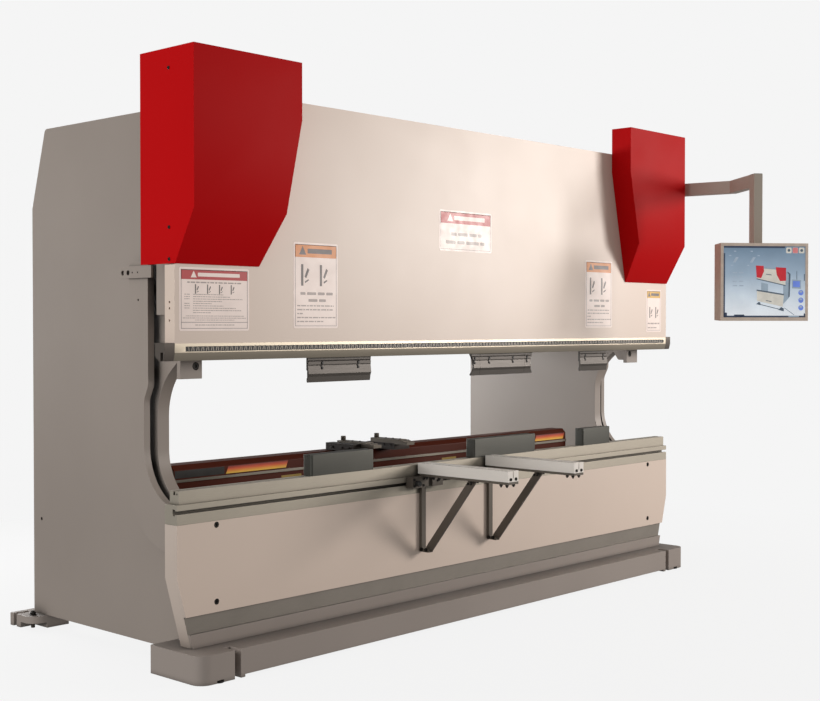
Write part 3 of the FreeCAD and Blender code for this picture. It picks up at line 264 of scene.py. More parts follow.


# Where these finishes darken gaps and inner corners (frame, base, bed ends, gauge, rails,
# punches), that is painted shade.
TAUPE = paint("frame_enamel", "#8f857d", 0.48, painted_shade=0.85)
# painted shade also darkens the base's sheltered upward faces
TAUPE_DARK = paint("base_enamel", "#918780", 0.48, painted_shade=0.7, reach=0.03, painted_top_shade=0.75)
# The bed's end faces take a tone darker than the skin's enamel, as painted shade, and painted
# shade darkens them near other parts.
BED_END_SHADED = paint("bed_end_enamel_shaded", "#b9aba0", 0.48, painted_shade=0.55, reach=0.35)
BEIGE = paint("skin_enamel", "#d1bfb1", 0.43, wear=0.2, drift=0.015, patchy=0.01, shine=0.7)
RED = paint("cover_enamel", "#b3060a", 0.45, wear=0.1, drift=0.03, shine=0.04)
BOOM = paint("boom_enamel", "#aea396", 0.44)
CABINET = paint("cabinet_enamel", "#a59c92", 0.45)
TANK = paint("tank_enamel", "#7b726a", 0.45)
GAUGE = paint("gauge_enamel", "#4d1d0e", 0.46, shine=0.12, painted_shade=0.8)
RAIL = metal("rail_steel", "#a49d90", 0.46, metallic=0.6, stain=0.10, painted_shade=0.85)
STRIP = metal("strip_steel", "#88827a", 0.46, metallic=0.6, stain=0.2)
# painted shade on the clamp bar's down-facing lower bevel, below 1.331 m
CLAMP = metal("clamp_steel", "#cabfac", 0.40, metallic=0.6, stain=0.04, shaded_below=1.331)
TOOL = metal("tool_steel", "#44443f", 0.42, stain=0.15, wear=0.8, metallic=0.6)
DARK = metal("black_steel", "#4a453f", 0.44, stain=0.2, metallic=0.8)
CAP = metal("cap_steel", "#564f49", 0.46, metallic=0.5)
PLATE = metal("gauge_steel", "#77736b", 0.40, stain=0.2)
PUNCH = metal("punch_steel", "#4d4843", 0.46, stain=0.05, metallic=0.4, wear=0.0, painted_shade=0.95)
BLADE = metal("blade_steel", "#575047", 0.46, stain=0.15, metallic=0.5)
OXIDE = metal("oxide_steel", "#231b16", 0.42, stain=0.2, metallic=0.5)
CHROME = metal("rod_chrome", "#d9d9d9", 0.12, grain=(60, 60, 1), depth=0.02, stain=0.02)
ALUMINIUM = metal("arm_aluminium", "#dcd7d0", 0.40, grain=(60, 1, 60), metallic=0.2,
                  stain=0.03, depth=0.02, streak=0.03)
STRUT = metal("strut_steel", "#5d564e", 0.46, stain=0.15, metallic=0.45)
SCREW = metal("screw_steel", "#2e2c2a", 0.40, grain=(8, 8, 8), scale=60, metallic=0.8)
PIPE = metal("pipe_steel", "#8c8a86", 0.32, grain=(8, 8, 8), metallic=0.9)
BLACK = plastic("black_plastic", "#1c1b1a", 0.55, 0.15)
SHELL = plastic("monitor_shell", "#b39f92", 0.46)
BEZEL = plastic("bezel_shell", "#dccabb", 0.46)
WHITE = printed("white_vinyl", "#f2e2da")
INK = printed("grey_ink", "#a0948f")
RULE_INK = printed("rule_ink", "#857b7c")
MARK_INK = printed("mark_ink", "#57504f")
BLACK_INK = printed("black_ink", "#181615")
RED_INK = printed("red_ink", "#b3262a")
ORANGE_INK = printed("orange_ink", "#d98743")
YELLOW_INK = printed("yellow_ink", "#d9a93a")
# a darker copy of the yellow ink, for tags that lie partly in shade: painted shade
TAG_INK_SHADED = printed("tag_ink_shaded", "#8f7420")
TEETH = printed("tooth_ink", "#a89f92")
SUNSET = ramp_print("sunset_vinyl", 0.754, 0.788,
                    [(0.0, "#f0c63c"), (0.3, "#ef9a2c"), (0.62, "#d8501e"), (1.0, "#7d1a10")])


# ---------------- shapes

def across(axis):
    """The two axes that lie across an axis."""
    return [i for i in range(3) if i != AXES[axis]]


class Shape:
    """Collects solids in one mesh, in millimetres."""

    def __init__(self):
        self.mesh = bmesh.new()

    def prism(self, outline, axis, low, high):
        """A straight solid on a closed outline of points across the axis."""
        first, second = across(axis)
        rings = []
        for level in (low, high):
            ring = []
            for u, v in outline:
                point = [0.0, 0.0, 0.0]
                point[first], point[second], point[AXES[axis]] = u, v, level
                ring.append(self.mesh.verts.new(point))
            rings.append(ring)
        faces = [self.mesh.faces.new(rings[0]), self.mesh.faces.new(rings[1])]
        count = len(outline)
        for i in range(count):
            j = (i + 1) % count
            faces.append(self.mesh.faces.new((rings[0][i], rings[0][j], rings[1][j],
                                              rings[1][i])))
        bmesh.ops.recalc_face_normals(self.mesh, faces=faces)
        return self

    def plate(self, axis, low, high, radius=0.0, steps=5):
        """A block from corner to corner, its corners across the axis rounded."""
        first, second = across(axis)
        outline = rounded(low[first], low[second], high[first], high[second], radius, steps)
        return self.prism(outline, axis, low[AXES[axis]], high[AXES[axis]])

    def decal(self, x, z, front, skin, radius=0.0, steps=5):
        """A thin plate that faces the front, on the skin's two depths from front."""
        return self.plate("y", (x[0], front + skin[0], z[0]), (x[1], front + skin[1], z[1]),
                          radius, steps)

    def lathe(self, profile, centre, axis, steps=32, flutes=0, flute_deep=0.0):
        """A turned solid; profile lists (radius, distance along the axis)."""
        first, second = across(axis)
        rings = []
        for radius, along in profile:
            ring = []
            for i in range(steps):
                angle = math.tau * i / steps
                reach = radius
                if flutes and radius > 0:
                    reach -= flute_deep * (0.5 + 0.5 * math.cos(angle * flutes))
                point = list(centre)
                point[first] += reach * math.cos(angle)
                point[second] += reach * math.sin(angle)
                point[AXES[axis]] += along
                ring.append(self.mesh.verts.new(point))
            rings.append(ring)
        faces = [self.mesh.faces.new(rings[0]), self.mesh.faces.new(rings[-1])]
        for lower, upper in zip(rings, rings[1:]):
            for i in range(steps):
                j = (i + 1) % steps
                faces.append(self.mesh.faces.new((lower[i], lower[j], upper[j], upper[i])))
        bmesh.ops.recalc_face_normals(self.mesh, faces=faces)
        return self

    def socket_screw(self, centre, axis, radius, tall, out=1):
        """A cap screw head with its hexagon socket, standing on centre."""
        key = radius * 0.52
        profile = [(radius, 0), (radius, tall * 0.8), (radius * 0.9, tall), (key * 1.15, tall),
                   (key * 1.1, tall), (key, tall * 0.98), (key, tall * 0.35),
                   (key * 0.2, tall * 0.3)]
        return self.lathe([(r, out * h) for r, h in profile], centre, axis, 24)

    def hexagon(self, centre, axis, radius, low, high, turn=0.0):
        """A six-sided solid from low to high, turned by an angle in radians."""
        first, second = across(axis)
        outline = [(centre[first] + radius * math.cos(turn + math.tau * i / 6),
                    centre[second] + radius * math.sin(turn + math.tau * i / 6))
                   for i in range(6)]
        return self.prism(outline, axis, low, high)

    def finish(self, name, body, material, slot, bevel=0.0, matrix=None):
        """Turns the solids into a piece that rides on a body."""
        self.mesh.transform(Matrix.Scale(MM, 4))
        if matrix is not None:
            self.mesh.transform(matrix)
        soften(self.mesh, CREASE)
        piece = from_mesh(name, self.mesh, material)
        if bevel:
            add_bevel(piece, bevel * MM)
        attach(piece, body)
        return piece

    def screws(self, name, body="frame", bevel=0.0):
        """Turns the solids into dark fasteners."""
        return self.finish(name, body, SCREW, "dark_steel", bevel)


def rounded(u0, v0, u1, v1, radius, steps=5):
    """The outline of a rectangle with rounded corners."""
    if radius <= 0:
        return [(u0, v0), (u1, v0), (u1, v1), (u0, v1)]
    points = []
    corners = ((u1 - radius, v0 + radius, -90), (u1 - radius, v1 - radius, 0),
               (u0 + radius, v1 - radius, 90), (u0 + radius, v0 + radius, 180))
    for u, v, start in corners:
        for i in range(steps + 1):
            angle = math.radians(start + 90 * i / steps)
            points.append((u + radius * math.cos(angle), v + radius * math.sin(angle)))
    return points


def add_object(name, data):
    """A new object in the scene."""
    thing = bpy.data.objects.new(name, data)
    bpy.context.scene.collection.objects.link(thing)
    return thing


def from_mesh(name, mesh, material):
    """A new object on a finished mesh, which is used up."""
    data = bpy.data.meshes.new(name)
    mesh.to_mesh(data)
    mesh.free()
    data.materials.append(material)
    return add_object(name, data)


def soften(mesh, angle):
    """Smooth shading, kept sharp where faces meet at more than the angle."""
    limit = math.radians(angle)
    for face in mesh.faces:
        face.smooth = True
    for edge in mesh.edges:
        edge.smooth = edge.is_manifold and edge.calc_face_angle(0.0) < limit


def add_bevel(piece, width):
    """Rounds the sharp edges by a width in metres."""
    bevel = piece.modifiers.new("rounded_edges", "BEVEL")
    bevel.width = width
    bevel.segments = 2
    bevel.limit_method = "ANGLE"
    bevel.angle_limit = math.radians(CREASE)
    bevel.harden_normals = True


def refine(node, material, width, ends=None, crease=CREASE):
    """Shows a CAD node with broken edges and its own finish; ends colours its X ends."""
    mesh = bmesh.new()
    mesh.from_mesh(frame["nodes"][node].data)
    bmesh.ops.remove_doubles(mesh, verts=mesh.verts, dist=0.00001)
    bmesh.ops.dissolve_limit(mesh, angle_limit=math.radians(0.6), verts=mesh.verts,
                             edges=mesh.edges)
    soften(mesh, crease)
    piece = from_mesh(f"{node}_finished", mesh, material)
    if ends:
        piece.data.materials.append(ends)
        for face in piece.data.polygons:
            face.material_index = 1 if abs(face.normal.x) > 0.5 else 0
    if width:
        add_bevel(piece, width)
    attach(piece, body_of(node))
    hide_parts(node)


def body_of(node):
    """The body that a CAD node belongs to."""
    groups = frame["record"]["behaviour"]["bodies"]
    return next(body for body, nodes in groups.items() if node in nodes)


# ---------------- the CAD pieces

def pair(name):
    return [f"{name}_{side}" for side, _ in SIDES]


# Material, width of the broken edges in metres, and nodes.
FINISHES = [
    (TAUPE, 0.0025, [*pair("side_frame"), *pair("outer_plate"), "guide_brackets",
                     "boom_bracket", "lower_tie", "upper_ties", "guide_blocks",
                     "scale_brackets"]),
    (TAUPE_DARK, 0.004, ["base_beam", *pair("rear_foot")]),
    (TAUPE_DARK, 0.001, ["toe_plate"]),
    (BEIGE, 0.002, ["bed_skin", "ram_plate"]),
    (STRIP, 0.001, ["bed_plate", "ram_guides", "gauge_rails"]),
    (RAIL, 0.0012, ["bed_rail", "die_rail"]),
    (RED, 0.0012, pair("cover")),
    (CLAMP, 0.001, ["clamp_bar"]),
    (CAP, 0.0015, ["clamp_caps"]),
    (TOOL, 0.0006, ["lower_dies"]),
    (PUNCH, 0.0003, ["punches"]),
    (OXIDE, 0.001, pair("finger_block")),
    (BLADE, 0.0006, pair("finger")),
    (PLATE, 0.001, ["gauge_carriages", "gauge_lifts"]),
    (DARK, 0.001, [*pair("cylinder"), "cylinder_glands", "bell_housing", "valve_manifold",
                   "hydraulic_pump", "plate_spacers", "frame_bolts", "jack_screws"]),
    (STRUT, 0.001, [*pair("arm_frame"), *pair("arm_carriage")]),
    (CHROME, 0.001, ["piston_rods"]),
    (TANK, 0.002, ["oil_tank", "tank_lid", "pump_motor"]),
    (PIPE, 0.0, ["oil_pipes"]),
    (GAUGE, 0.002, ["gauge_beam"]),
    (ALUMINIUM, 0.0008, pair("arm_bar")),
    (BLACK, 0.001, pair("arm_knob")),
    (BOOM, 0.003, ["boom_arm"]),
    (SHELL, 0.004, ["monitor_case"]),
    (BLACK, 0.0, ["monitor_screen"]),
    (CABINET, 0.002, ["electrical_cabinet", "cabinet_door"]),
]
# The bed plate's ends are painted, unlike its bare front; their tone also carries painted shade.
PAINTED_ENDS = {"bed_plate": BED_END_SHADED, "bed_skin": BED_END_SHADED}
CREASES = {"punches": 10}
for material, width, nodes in FINISHES:
    for node in nodes:
        refine(node, material, width, PAINTED_ENDS.get(node), CREASES.get(node, CREASE))


# ---------------- places, in millimetres

def span(node):
    """The two corners of a CAD node's box."""
    low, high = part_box(node)
    return low / MM, high / MM


RAM_FRONT = span("ram_plate")[0].y
BAR_FRONT = span("clamp_bar")[0].y
BEAM_LOW, BEAM_HIGH = span("gauge_beam")

# Front and back of printed layers in y, from the face they lie on; minus is outwards.
VINYL = (-0.5, 0.2)
PRINT = (-0.8, -0.3)
BADGE = (-1.0, -0.6)


# ---------------- plain sign plates on the ram

DASHES = (5, 9, 7, 12, 4, 8)  # lengths of the dashes, in half heights
GAP = 1.7  # between dashes, in half heights
RULE = 2.2  # thickness of a printed line
RIM = 9  # plain edge of a plate


def dashes(shape, x, level, half, turn):
    """A row of dashes of uneven length, like print too small to read."""
    start, step = x[0], turn
    while start < x[1]:
        stop = min(start + half * DASHES[step % len(DASHES)], x[1])
        shape.decal((start, stop), (level - half, level + half), RAM_FRONT, PRINT, half * 0.5, 2)
        start = stop + half * GAP
        step += 1


def outline(shape, x, z):
    """A thin rectangle of four strips."""
    for level in (z[0], z[1] - RULE):
        shape.decal(x, (level, level + RULE), RAM_FRONT, PRINT)
    for start in (x[0], x[1] - RULE):
        shape.decal((start, start + RULE), z, RAM_FRONT, PRINT)


def figure(shape, x, z, r):
    """A dark bar and two slanted slivers, r tall each way from their middle."""
    shape.decal((x - r * 0.42, x - r * 0.14), (z - r, z + r), RAM_FRONT, PRINT, 1)
    for corners in (((0.02, -0.15), (0.22, -0.3), (0.62, 0.5), (0.4, 0.66)),
                    ((0.1, -0.75), (0.55, -0.5), (0.5, -0.38), (0.05, -0.6))):
        shape.prism([(x + r * u, z + r * v) for u, v in corners], "y",
                    RAM_FRONT + PRINT[0], RAM_FRONT + PRINT[1])


def sign(name, x, z, header, header_tall, rows, marks=(), foot=0.0, title=WHITE):
    """A vinyl plate with a coloured heading, rows of dashes and plain dark shapes.

    Rows give start, end and level as shares of the plate, and half a height in millimetres.
    Marks give place and size, and foot the level of a rule, as shares too.
    """
    def show(shape, part, material, bevel=0.0):
        shape.finish(f"{name}_{part}", "ram", material, "bed_paint", bevel)

    wide, tall = x[1] - x[0], z[1] - z[0]
    inner = (x[0] + RIM, x[1] - RIM)
    top = z[1] - RIM
    show(Shape().decal(x, z, RAM_FRONT, VINYL, RIM), "plate", WHITE, 0.2)
    show(Shape().decal(inner, (top - header_tall, top), RAM_FRONT, PRINT), "heading", header)
    badge = Shape()
    middle = top - header_tall / 2
    size = header_tall * 0.38
    centre = x[0] + wide * 0.2
    badge.prism([(centre - size, middle - size * 0.8), (centre + size, middle - size * 0.8),
                 (centre, middle + size)], "y", RAM_FRONT + BADGE[0], RAM_FRONT + BADGE[1])
    badge.decal((centre + size * 1.4, x[1] - wide * 0.14),
                (middle - size * 0.5, middle + size * 0.5), RAM_FRONT, BADGE, 3)
    show(badge, "badge", title)
    rules = Shape()
    outline(rules, inner, (z[0] + RIM, top))
    if foot:
        level = z[0] + tall * foot
        rules.decal(inner, (level, level + RULE), RAM_FRONT, PRINT)
    show(rules, "rules", RULE_INK)
    bars = Shape()
    for turn, (low, high, share, half) in enumerate(rows):
        dashes(bars, (x[0] + wide * low, x[0] + wide * high), z[0] + tall * share, half, turn)
    show(bars, "bars", INK)
    if marks:
        drawn = Shape()
        for u, v, size in marks:
            figure(drawn, x[0] + wide * u, z[0] + tall * v, tall * size)
        show(drawn, "marks", MARK_INK)


def far_left_rows():
    """A bold line, two columns of print, three centred lines and a footer."""
    rows = [(0.11, 0.89, 0.765, 2.6)]
    ends = (0.62, 0.72, 0.90, 0.60, 0.45, 0.62, 0.80, 0.88, 0.44)
    for i, end in enumerate(ends):
        level = 0.575 - 0.036 * i
        rows.append((0.19, end, level, 1.4))
        if i not in (3, 7, 8):
            rows.append((0.07, 0.145, level, 1.4))
    return rows + [(0.09, 0.92, 0.235, 1.3), (0.05, 0.95, 0.203, 1.3), (0.22, 0.78, 0.171, 1.3),
                   (0.22, 0.78, 0.092, 1.6)]


TALL_ROWS = [(0.15, 0.88, 0.405, 6.0), (0.33, 0.72, 0.325, 6.0), (0.08, 0.90, 0.262, 2.6),
             (0.08, 0.88, 0.216, 2.6), (0.08, 0.20, 0.170, 2.6), (0.08, 0.95, 0.124, 2.6),
             (0.08, 0.66, 0.078, 2.6)]
TALL_MARKS = [(0.24, 0.62, 0.125), (0.66, 0.62, 0.125)]
sign("sign_far_left", (-1810, -1443), (1420, 1679), RED_INK, 40, far_left_rows(),
     [(u, 0.66, 0.075) for u in (0.24, 0.41, 0.58, 0.75)], 0.13)
sign("sign_left", (-1190, -921), (1430, 1808), ORANGE_INK, 56, TALL_ROWS, TALL_MARKS,
     title=MARK_INK)
sign("sign_middle", (-229, 173), (1810, 2012), RED_INK, 56,
     [(0.22, 0.80, 0.42, 8.0), (0.12, 0.88, 0.22, 8.0)])
sign("sign_right", (998, 1259), (1429, 1806), ORANGE_INK, 56, TALL_ROWS, TALL_MARKS,
     title=MARK_INK)
sign("sign_far_right", (1615, 1777), (1403, 1654), YELLOW_INK, 40,
     [(0.12, 0.88, 0.20, 4.0), (0.12, 0.70, 0.10, 3.0)], [(0.3, 0.46, 0.13), (0.7, 0.46, 0.13)],
     title=MARK_INK)


def ram_lips():
    """A thin lip on each low shoulder of the ram plate, behind the cover's bottom edge."""
    lips = Shape()
    shoulder, tall, inner, outer = 1687.6, 12, 1470.5, 1829.0
    for _, side in SIDES:
        x = sorted((side * inner, side * outer))
        lips.decal(x, (shoulder, shoulder + tall), RAM_FRONT, (-0.5, 3))
    lips.finish("ram_lips", "ram", BEIGE, "bed_paint")


ram_lips()


# ---------------- clamp scale and punch clips

def scale_strip():
    """A black scale let into the bar, with a light stroke at every half inch."""
    low, high, start, end = 1336, 1356.5, -1778, 1808
    pitch, margin, thick, first, spare = 12.7, 2.5, 3.2, 16, 20
    Shape().decal((start, end), (low, high), BAR_FRONT, (0.4, 1.5)).finish(
        "scale_insert", "ram", BLACK, "black_plastic")
    strokes = Shape()
    for i in range(int((end - start - spare) / pitch)):
        x = start + first + pitch * i
        lean = 4 if i % 2 else -2
        strokes.prism([(x, low + margin), (x + thick, low + margin),
                       (x + thick + lean, high - margin), (x + lean, high - margin)], "y",
                      BAR_FRONT + 0.1, BAR_FRONT + 0.6)
    strokes.finish("scale_strokes", "ram", TEETH, "plain_steel")


def punch_clips():
    """A sprung clip with two buttons at each end of the punch sections."""
    front, upper, elbow, lower = 32.0, 1274, 1262, 1250
    clips = Shape()
    for x in (-995, -766, 70, 186, 382, 501, 1034, 1209):
        clips.lathe([(6.2, 0), (6.2, -2.6), (5.2, -3.6), (0.5, -3.6)], (x + 1, front, upper), "y",
                    20)
        clips.lathe([(5.6, 0), (5.6, -2.6), (4.8, -3.6), (0.5, -3.6)], (x, front, lower), "y", 20)
        clips.prism([(x - 5, lower + 2), (x - 1.5, lower), (x - 3.0, elbow), (x + 1, upper - 2),
                     (x - 2, upper), (x - 6.5, elbow)], "y", front - 2.4, front - 0.4)
    clips.finish("punch_clips", "ram", BLACK, "tool_steel", 0.4)


def bolt_heads():
    """Cap screws in the bed's and the guide blocks' holes, and the covers' screws."""
    bed_face, guide_face, cover_line = 7.9, 138.9, 41.5
    heads = Shape()
    for _, side in SIDES:
        for z in (296, 616):
            heads.socket_screw((side * 1627, bed_face, z), "y", 11.5, 6, -1)
        for z in (1271, 1425):
            heads.socket_screw((side * 1630, guide_face, z), "y", 15.4, 6, -1)
    heads.screws("frame_screw_heads", bevel=0.4)
    studs = Shape()
    low, high = span("cover_screws")
    for end, out in ((low.x, -1), (high.x, 1)):
        for z in (1710, 1839, 2480):
            studs.lathe([(7.5, 0), (7.2, out * 2.2), (5.6, out * 3.6), (3.2, out * 3.8),
                         (3.0, out * 1.8), (0.6, out * 1.7)], (end - out * 3.9, cover_line, z),
                        "x", 24)
    piece = studs.screws("cover_screw_heads")
    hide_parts("cover_screws")


scale_strip()
punch_clips()
bolt_heads()


# ---------------- back gauge

def gauge_prints():
    """Coloured panels, tags, the rib's face and the end plates of the gauge beam."""
    front = BEAM_LOW.y + 5
    panel = (754, 788)
    Shape().decal((-1470, -1186), panel, front, VINYL, 2).finish(
        "gauge_panel_black", "gauge_beam", BLACK_INK, "gauge_paint")
    lean = 14
    for name, x in (("left", (-1176, -791)), ("right", (1169, 1460))):
        Shape().prism([(x[0], panel[0]), (x[1] - lean, panel[0]), (x[1], panel[1]),
                       (x[0] + lean, panel[1])], "y", front + VINYL[0], front + VINYL[1]).finish(
            f"gauge_panel_{name}", "gauge_beam", SUNSET, "gauge_paint")
    tags = Shape()
    for x in ((-834, -704), (336, 454)):
        tags.decal(x, (704.5, 717), front, VINYL, 3)
    # the tags are printed in the darkened yellow: painted shade
    tags.finish("gauge_tags", "gauge_beam", TAG_INK_SHADED, "gauge_paint")
    Shape().decal((BEAM_LOW.x + 4, BEAM_HIGH.x - 4), (736, 748), front, (-5.6, -4.9), 2).finish(
        "gauge_rib_face", "gauge_beam", PLATE, "plain_steel", 0.2)
    caps = Shape()
    bottom, top, back, cut = 704, 808, 597, 21
    for x in (BEAM_LOW.x - 1.5, BEAM_HIGH.x):
        caps.prism([(front + 3, bottom), (back, bottom), (back, top), (front + 3 + cut, top),
                    (front + 3, top - cut)], "x", x, x + 1.5)
    caps.finish("gauge_end_plates", "gauge_beam", PLATE, "gauge_paint", 0.4)


def finger_screws():
    """The fluted knob and the cap screws of each finger."""
    top = 858
    for side, _ in SIDES:
        low, high = span(f"finger_{side}")
        block_low, block_high = span(f"finger_block_{side}")
        middle = (low.x + high.x) / 2
        knob = Shape()
        knob.lathe([(12.4, 2), (13.2, 4), (13.2, 19), (12.4, 21.4), (5, 21.6), (4.4, 20.6),
                    (0.6, 20.4)], (middle, 518, top), "z", 72, 24, 0.9)
        knob.finish(f"finger_knob_{side}", f"finger_{side}", BLADE, "tool_steel")
        heads = Shape()
        for y in (350, 400, 450):
            heads.socket_screw((middle, y, top), "z", 5, 4)
        heads.socket_screw((middle, 315, top - 5), "z", 3.5, 2)
        for y in (390, 440, 510):
            for x, out in ((block_low.x, -1), (block_high.x, 1)):
                heads.socket_screw((x, y, 830), "x", 5, 3, out)
        heads.finish(f"finger_screws_{side}", f"finger_{side}", SCREW, "tool_steel")


gauge_prints()
finger_screws()


# ---------------- support arms

def arm_details(side):
    """Screws, nuts, scale marks and the knob of one support arm."""
    low, high = span(f"arm_bar_{side}")
    body = f"arm_{side}"
    middle = (low.x + high.x) / 2
    top, skin, end_holes = 778.9, 779.2, 741
    ends = Shape()
    for x in (middle - 19, middle + 19):
        ends.lathe([(4.9, 0), (7.2, 0), (7.2, -3), (6.2, -4), (3.6, -4), (3.4, -1.5), (0.5, -1.4)],
                   (x, low.y, end_holes), "y", 24)
    ends.screws(f"arm_end_screws_{side}", body)
    nuts = Shape()
    for y in (low.y + 18, low.y + 52, -330, -130, -95, -52):
        for x in (middle - 24, middle + 24):
            nuts.hexagon((x, y, 0), "z", 8, 708, 717.2, 0.3)
            nuts.lathe([(4.2, 0), (4.2, 5), (3.4, 6)], (x, y, 702.5), "z", 16)
    nuts.screws(f"arm_nuts_{side}", body, 0.5)
    # dark strips stand in for the grooves along the extrusion's top: painted shade
    lines = Shape()
    for x in (middle - 21, middle + 21):
        lines.plate("z", (x - 1.2, low.y + 2, top), (x + 1.2, high.y - 2, skin))
    lines.finish(f"arm_lines_{side}", body, DARK, "bare_aluminium")
    marks = Shape()
    for i in range(1, 27):
        y = low.y + 20 * i
        reach = 9 if i % 5 else 15
        marks.plate("z", (low.x + 3, y - 0.5, top), (low.x + 3 + reach, y + 0.5, skin + 0.05))
    marks.finish(f"arm_marks_{side}", body, BLACK_INK, "bare_aluminium")
    pins = Shape()
    shoe = low.x + 14
    for y, z in ((-16, 362), (-45, 362)):
        pins.lathe([(9, -4), (9, 0), (7.5, 1.5)], (shoe, y, z), "x", 24)
        pins.hexagon((0, y, z), "x", 7, shoe - 8, shoe - 3.5, 0.2)
    for y, z in ((-300, 700), (-318, 700)):
        pins.hexagon((0, y, z), "x", 6, low.x + 22, low.x + 27.2, 0.4)
    pins.screws(f"arm_pins_{side}", body, 0.4)
    left, front = low.x - 78, -41.8
    slide = Shape()
    for x, z in ((left + 11, 707), (left + 11, 675), (left + 78, 707), (left + 78, 675),
                 (low.x + 102, 690), (low.x + 130, 707)):
        slide.socket_screw((x, front, z), "y", 6, 5, -1)
    slide.screws(f"slide_screws_{side}", body, 0.3)
    knob_low, knob_high = span(f"arm_knob_{side}")
    centre = (knob_low + knob_high) / 2
    grip = Shape()
    grip.lathe([(0.6, 0), (7, 0), (11, 1.2), (13.6, 4), (14.2, 9), (13.6, 16), (11, 19), (8, 21),
                (8, 21.4)], (centre.x, knob_low.y - 0.2, centre.z), "y", 96, 8, 2.2)
    grip.finish(f"knob_grip_{side}", f"knob_{side}", BLACK, "black_plastic")


for side, _ in SIDES:
    arm_details(side)


# ---------------- pendant

HANGER = Matrix.Translation((1.728, -0.643, 0))
DROP = HANGER @ Matrix.Rotation(math.radians(-40.13), 4, "Z")

# Faces of the display's layers, in order towards the viewer.
SKY_FACE = -133.7
BACK_FACE = -133.85
MAIN_FACE = -133.95
PLAIN_FACE = -134.0
LINE_FACE = -134.05
BAR_FACE = -134.1
TOP_FACE = -134.15
GLASS = (-0.4, 0.2)


def on_screen(name, material, shapes, face):
    """Thin plates on the display; shapes lists (x0, x1, z0, z1, corner radius)."""
    drawn = Shape()
    for x0, x1, z0, z1, radius in shapes:
        drawn.decal((x0, x1), (z0, z1), face, GLASS, radius)
    drawn.finish(name, "monitor", material, "screen_glass", matrix=DROP)


def patch_screen(name, material, outlines, face):
    """Thin straight-sided patches on the display."""
    patches = Shape()
    for corners in outlines:
        patches.prism(corners, "y", face + GLASS[0], face + GLASS[1])
    patches.finish(name, "monitor", material, "screen_glass", matrix=DROP)


def screen_picture():
    """The display: a sky, key caps, buttons, faint marks and a small machine."""
    left, right, low, high = -236, 236, 1487, 1881
    on_screen("screen_sky", SKY, [(left, right, low, high, 0)], SKY_FACE)
    on_screen("screen_edge", NAVY, [
        (left, left + 8, low, high - 40, 0), (left, right, low, low + 9, 0),
        (left, right - 118, high - 10, high, 0), (left + 60, left + 120, low, low + 15, 4),
        (right - 8, right, low, low + 22, 3), (left, left + 20, low, low + 26, 4)], MAIN_FACE)
    keys = [right - 112 + 37 * i for i in range(3)]
    on_screen("screen_keys", PALE, [(x, x + 32, high - 38, high - 6, 6) for x in keys], MAIN_FACE)
    on_screen("screen_key_marks", SLATE, [(x + 8, x + 24, high - 30, high - 14, 8)
                                          for x in keys[::2]], TOP_FACE)
    on_screen("screen_stop", PINK_GLOW, [(keys[1] + 1, keys[1] + 31, high - 37, high - 7, 6)],
              TOP_FACE)
    buttons = [1525 + 42 * i for i in range(3)]
    on_screen("screen_buttons", BLUE_GLOW, [(right - 40, right - 10, z, z + 30, 15)
                                            for z in buttons], MAIN_FACE)
    on_screen("screen_buttons_lit", FAINT, [(right - 34, right - 18, z + 16, z + 25, 4)
                                            for z in buttons], TOP_FACE)
    strips = [(left + 52 + 36 * (i % 2), 1731 - 24 * (i // 2)) for i in range(8)]
    on_screen("screen_strips", FAINT, [(x, x + 26, z, z + 6, 2) for x, z in strips], MAIN_FACE)
    icons = [(left + 30, 1826), (left + 58, 1850), (left + 154, 1850), (left + 194, 1826),
             (left + 40, 1772), (left + 134, 1772)]
    on_screen("screen_icons", FAINT, [(x, x + 14, z, z + 5, 2) for x, z in icons], MAIN_FACE)
    patch_screen("screen_slants", FAINT, [
        [(x, 1790), (x + 16, 1790), (x + 34, 1820), (x + 18, 1820)]
        for x in (left + 52, left + 150)], PLAIN_FACE)
    draw_machine()
    on_screen("screen_status", STEEL_BLUE, [(right - 98, right - 36, low + 1, low + 8, 3)],
              BAR_FACE)


def draw_machine():
    """A small machine in perspective, as plain patches."""
    for part, material, face, outlines in (
        ("side", STEEL_BLUE, BACK_FACE, [
            [(108, 1560), (140, 1594), (146, 1732), (108, 1744)],
            [(-20, 1680), (20, 1672), (20, 1622), (-20, 1628)],
            [(-6, 1766), (64, 1760), (64, 1748), (-6, 1754)]]),
        ("body", PALE, MAIN_FACE, [
            [(-46, 1702), (121, 1665), (121, 1748), (-6, 1757), (-46, 1757)],
            [(-44, 1578), (106, 1545), (112, 1612), (-44, 1634)]]),
        ("lines", SLATE, LINE_FACE, [
            [(-46, 1698), (121, 1661), (121, 1666), (-46, 1703)],
            [(-46, 1633), (112, 1609), (112, 1617), (-46, 1641)],
            [(138, 1596), (146, 1602), (150, 1728), (132, 1742), (132, 1736), (140, 1724)],
            [(-48, 1560), (-24, 1554), (-24, 1568), (-34, 1572)],
            [(80, 1528), (112, 1520), (112, 1536), (96, 1544)],
            [(-24, 1560), (84, 1534), (84, 1530), (-24, 1556)],
            [(8, 1728), (40, 1724), (40, 1720), (8, 1724)],
            [(8, 1582), (40, 1576), (40, 1572), (8, 1578)]]),
        ("ends", RED_GLOW, TOP_FACE, [
            [(-51, 1774), (-6, 1772), (-4, 1742), (-20, 1704), (-46, 1708)],
            [(64, 1765), (124, 1762), (124, 1690), (90, 1688), (70, 1722)]]),
        ("panel", BLUE_GLOW, TOP_FACE, [
            [(164, 1656), (205, 1654), (205, 1688), (164, 1690)]]),
        ("panel_back", STEEL_BLUE, PLAIN_FACE, [
            [(159, 1648), (211, 1646), (211, 1694), (159, 1698)]]),
        ("post", SLATE, LINE_FACE, [
            [(185, 1697), (188, 1697), (188, 1744), (185, 1744)],
            [(228, 1690), (233, 1690), (233, 1728), (228, 1728)],
            [(116, 1540), (172, 1502), (172, 1499), (116, 1537)]])):
        patch_screen(f"screen_machine_{part}", material, outlines, face)


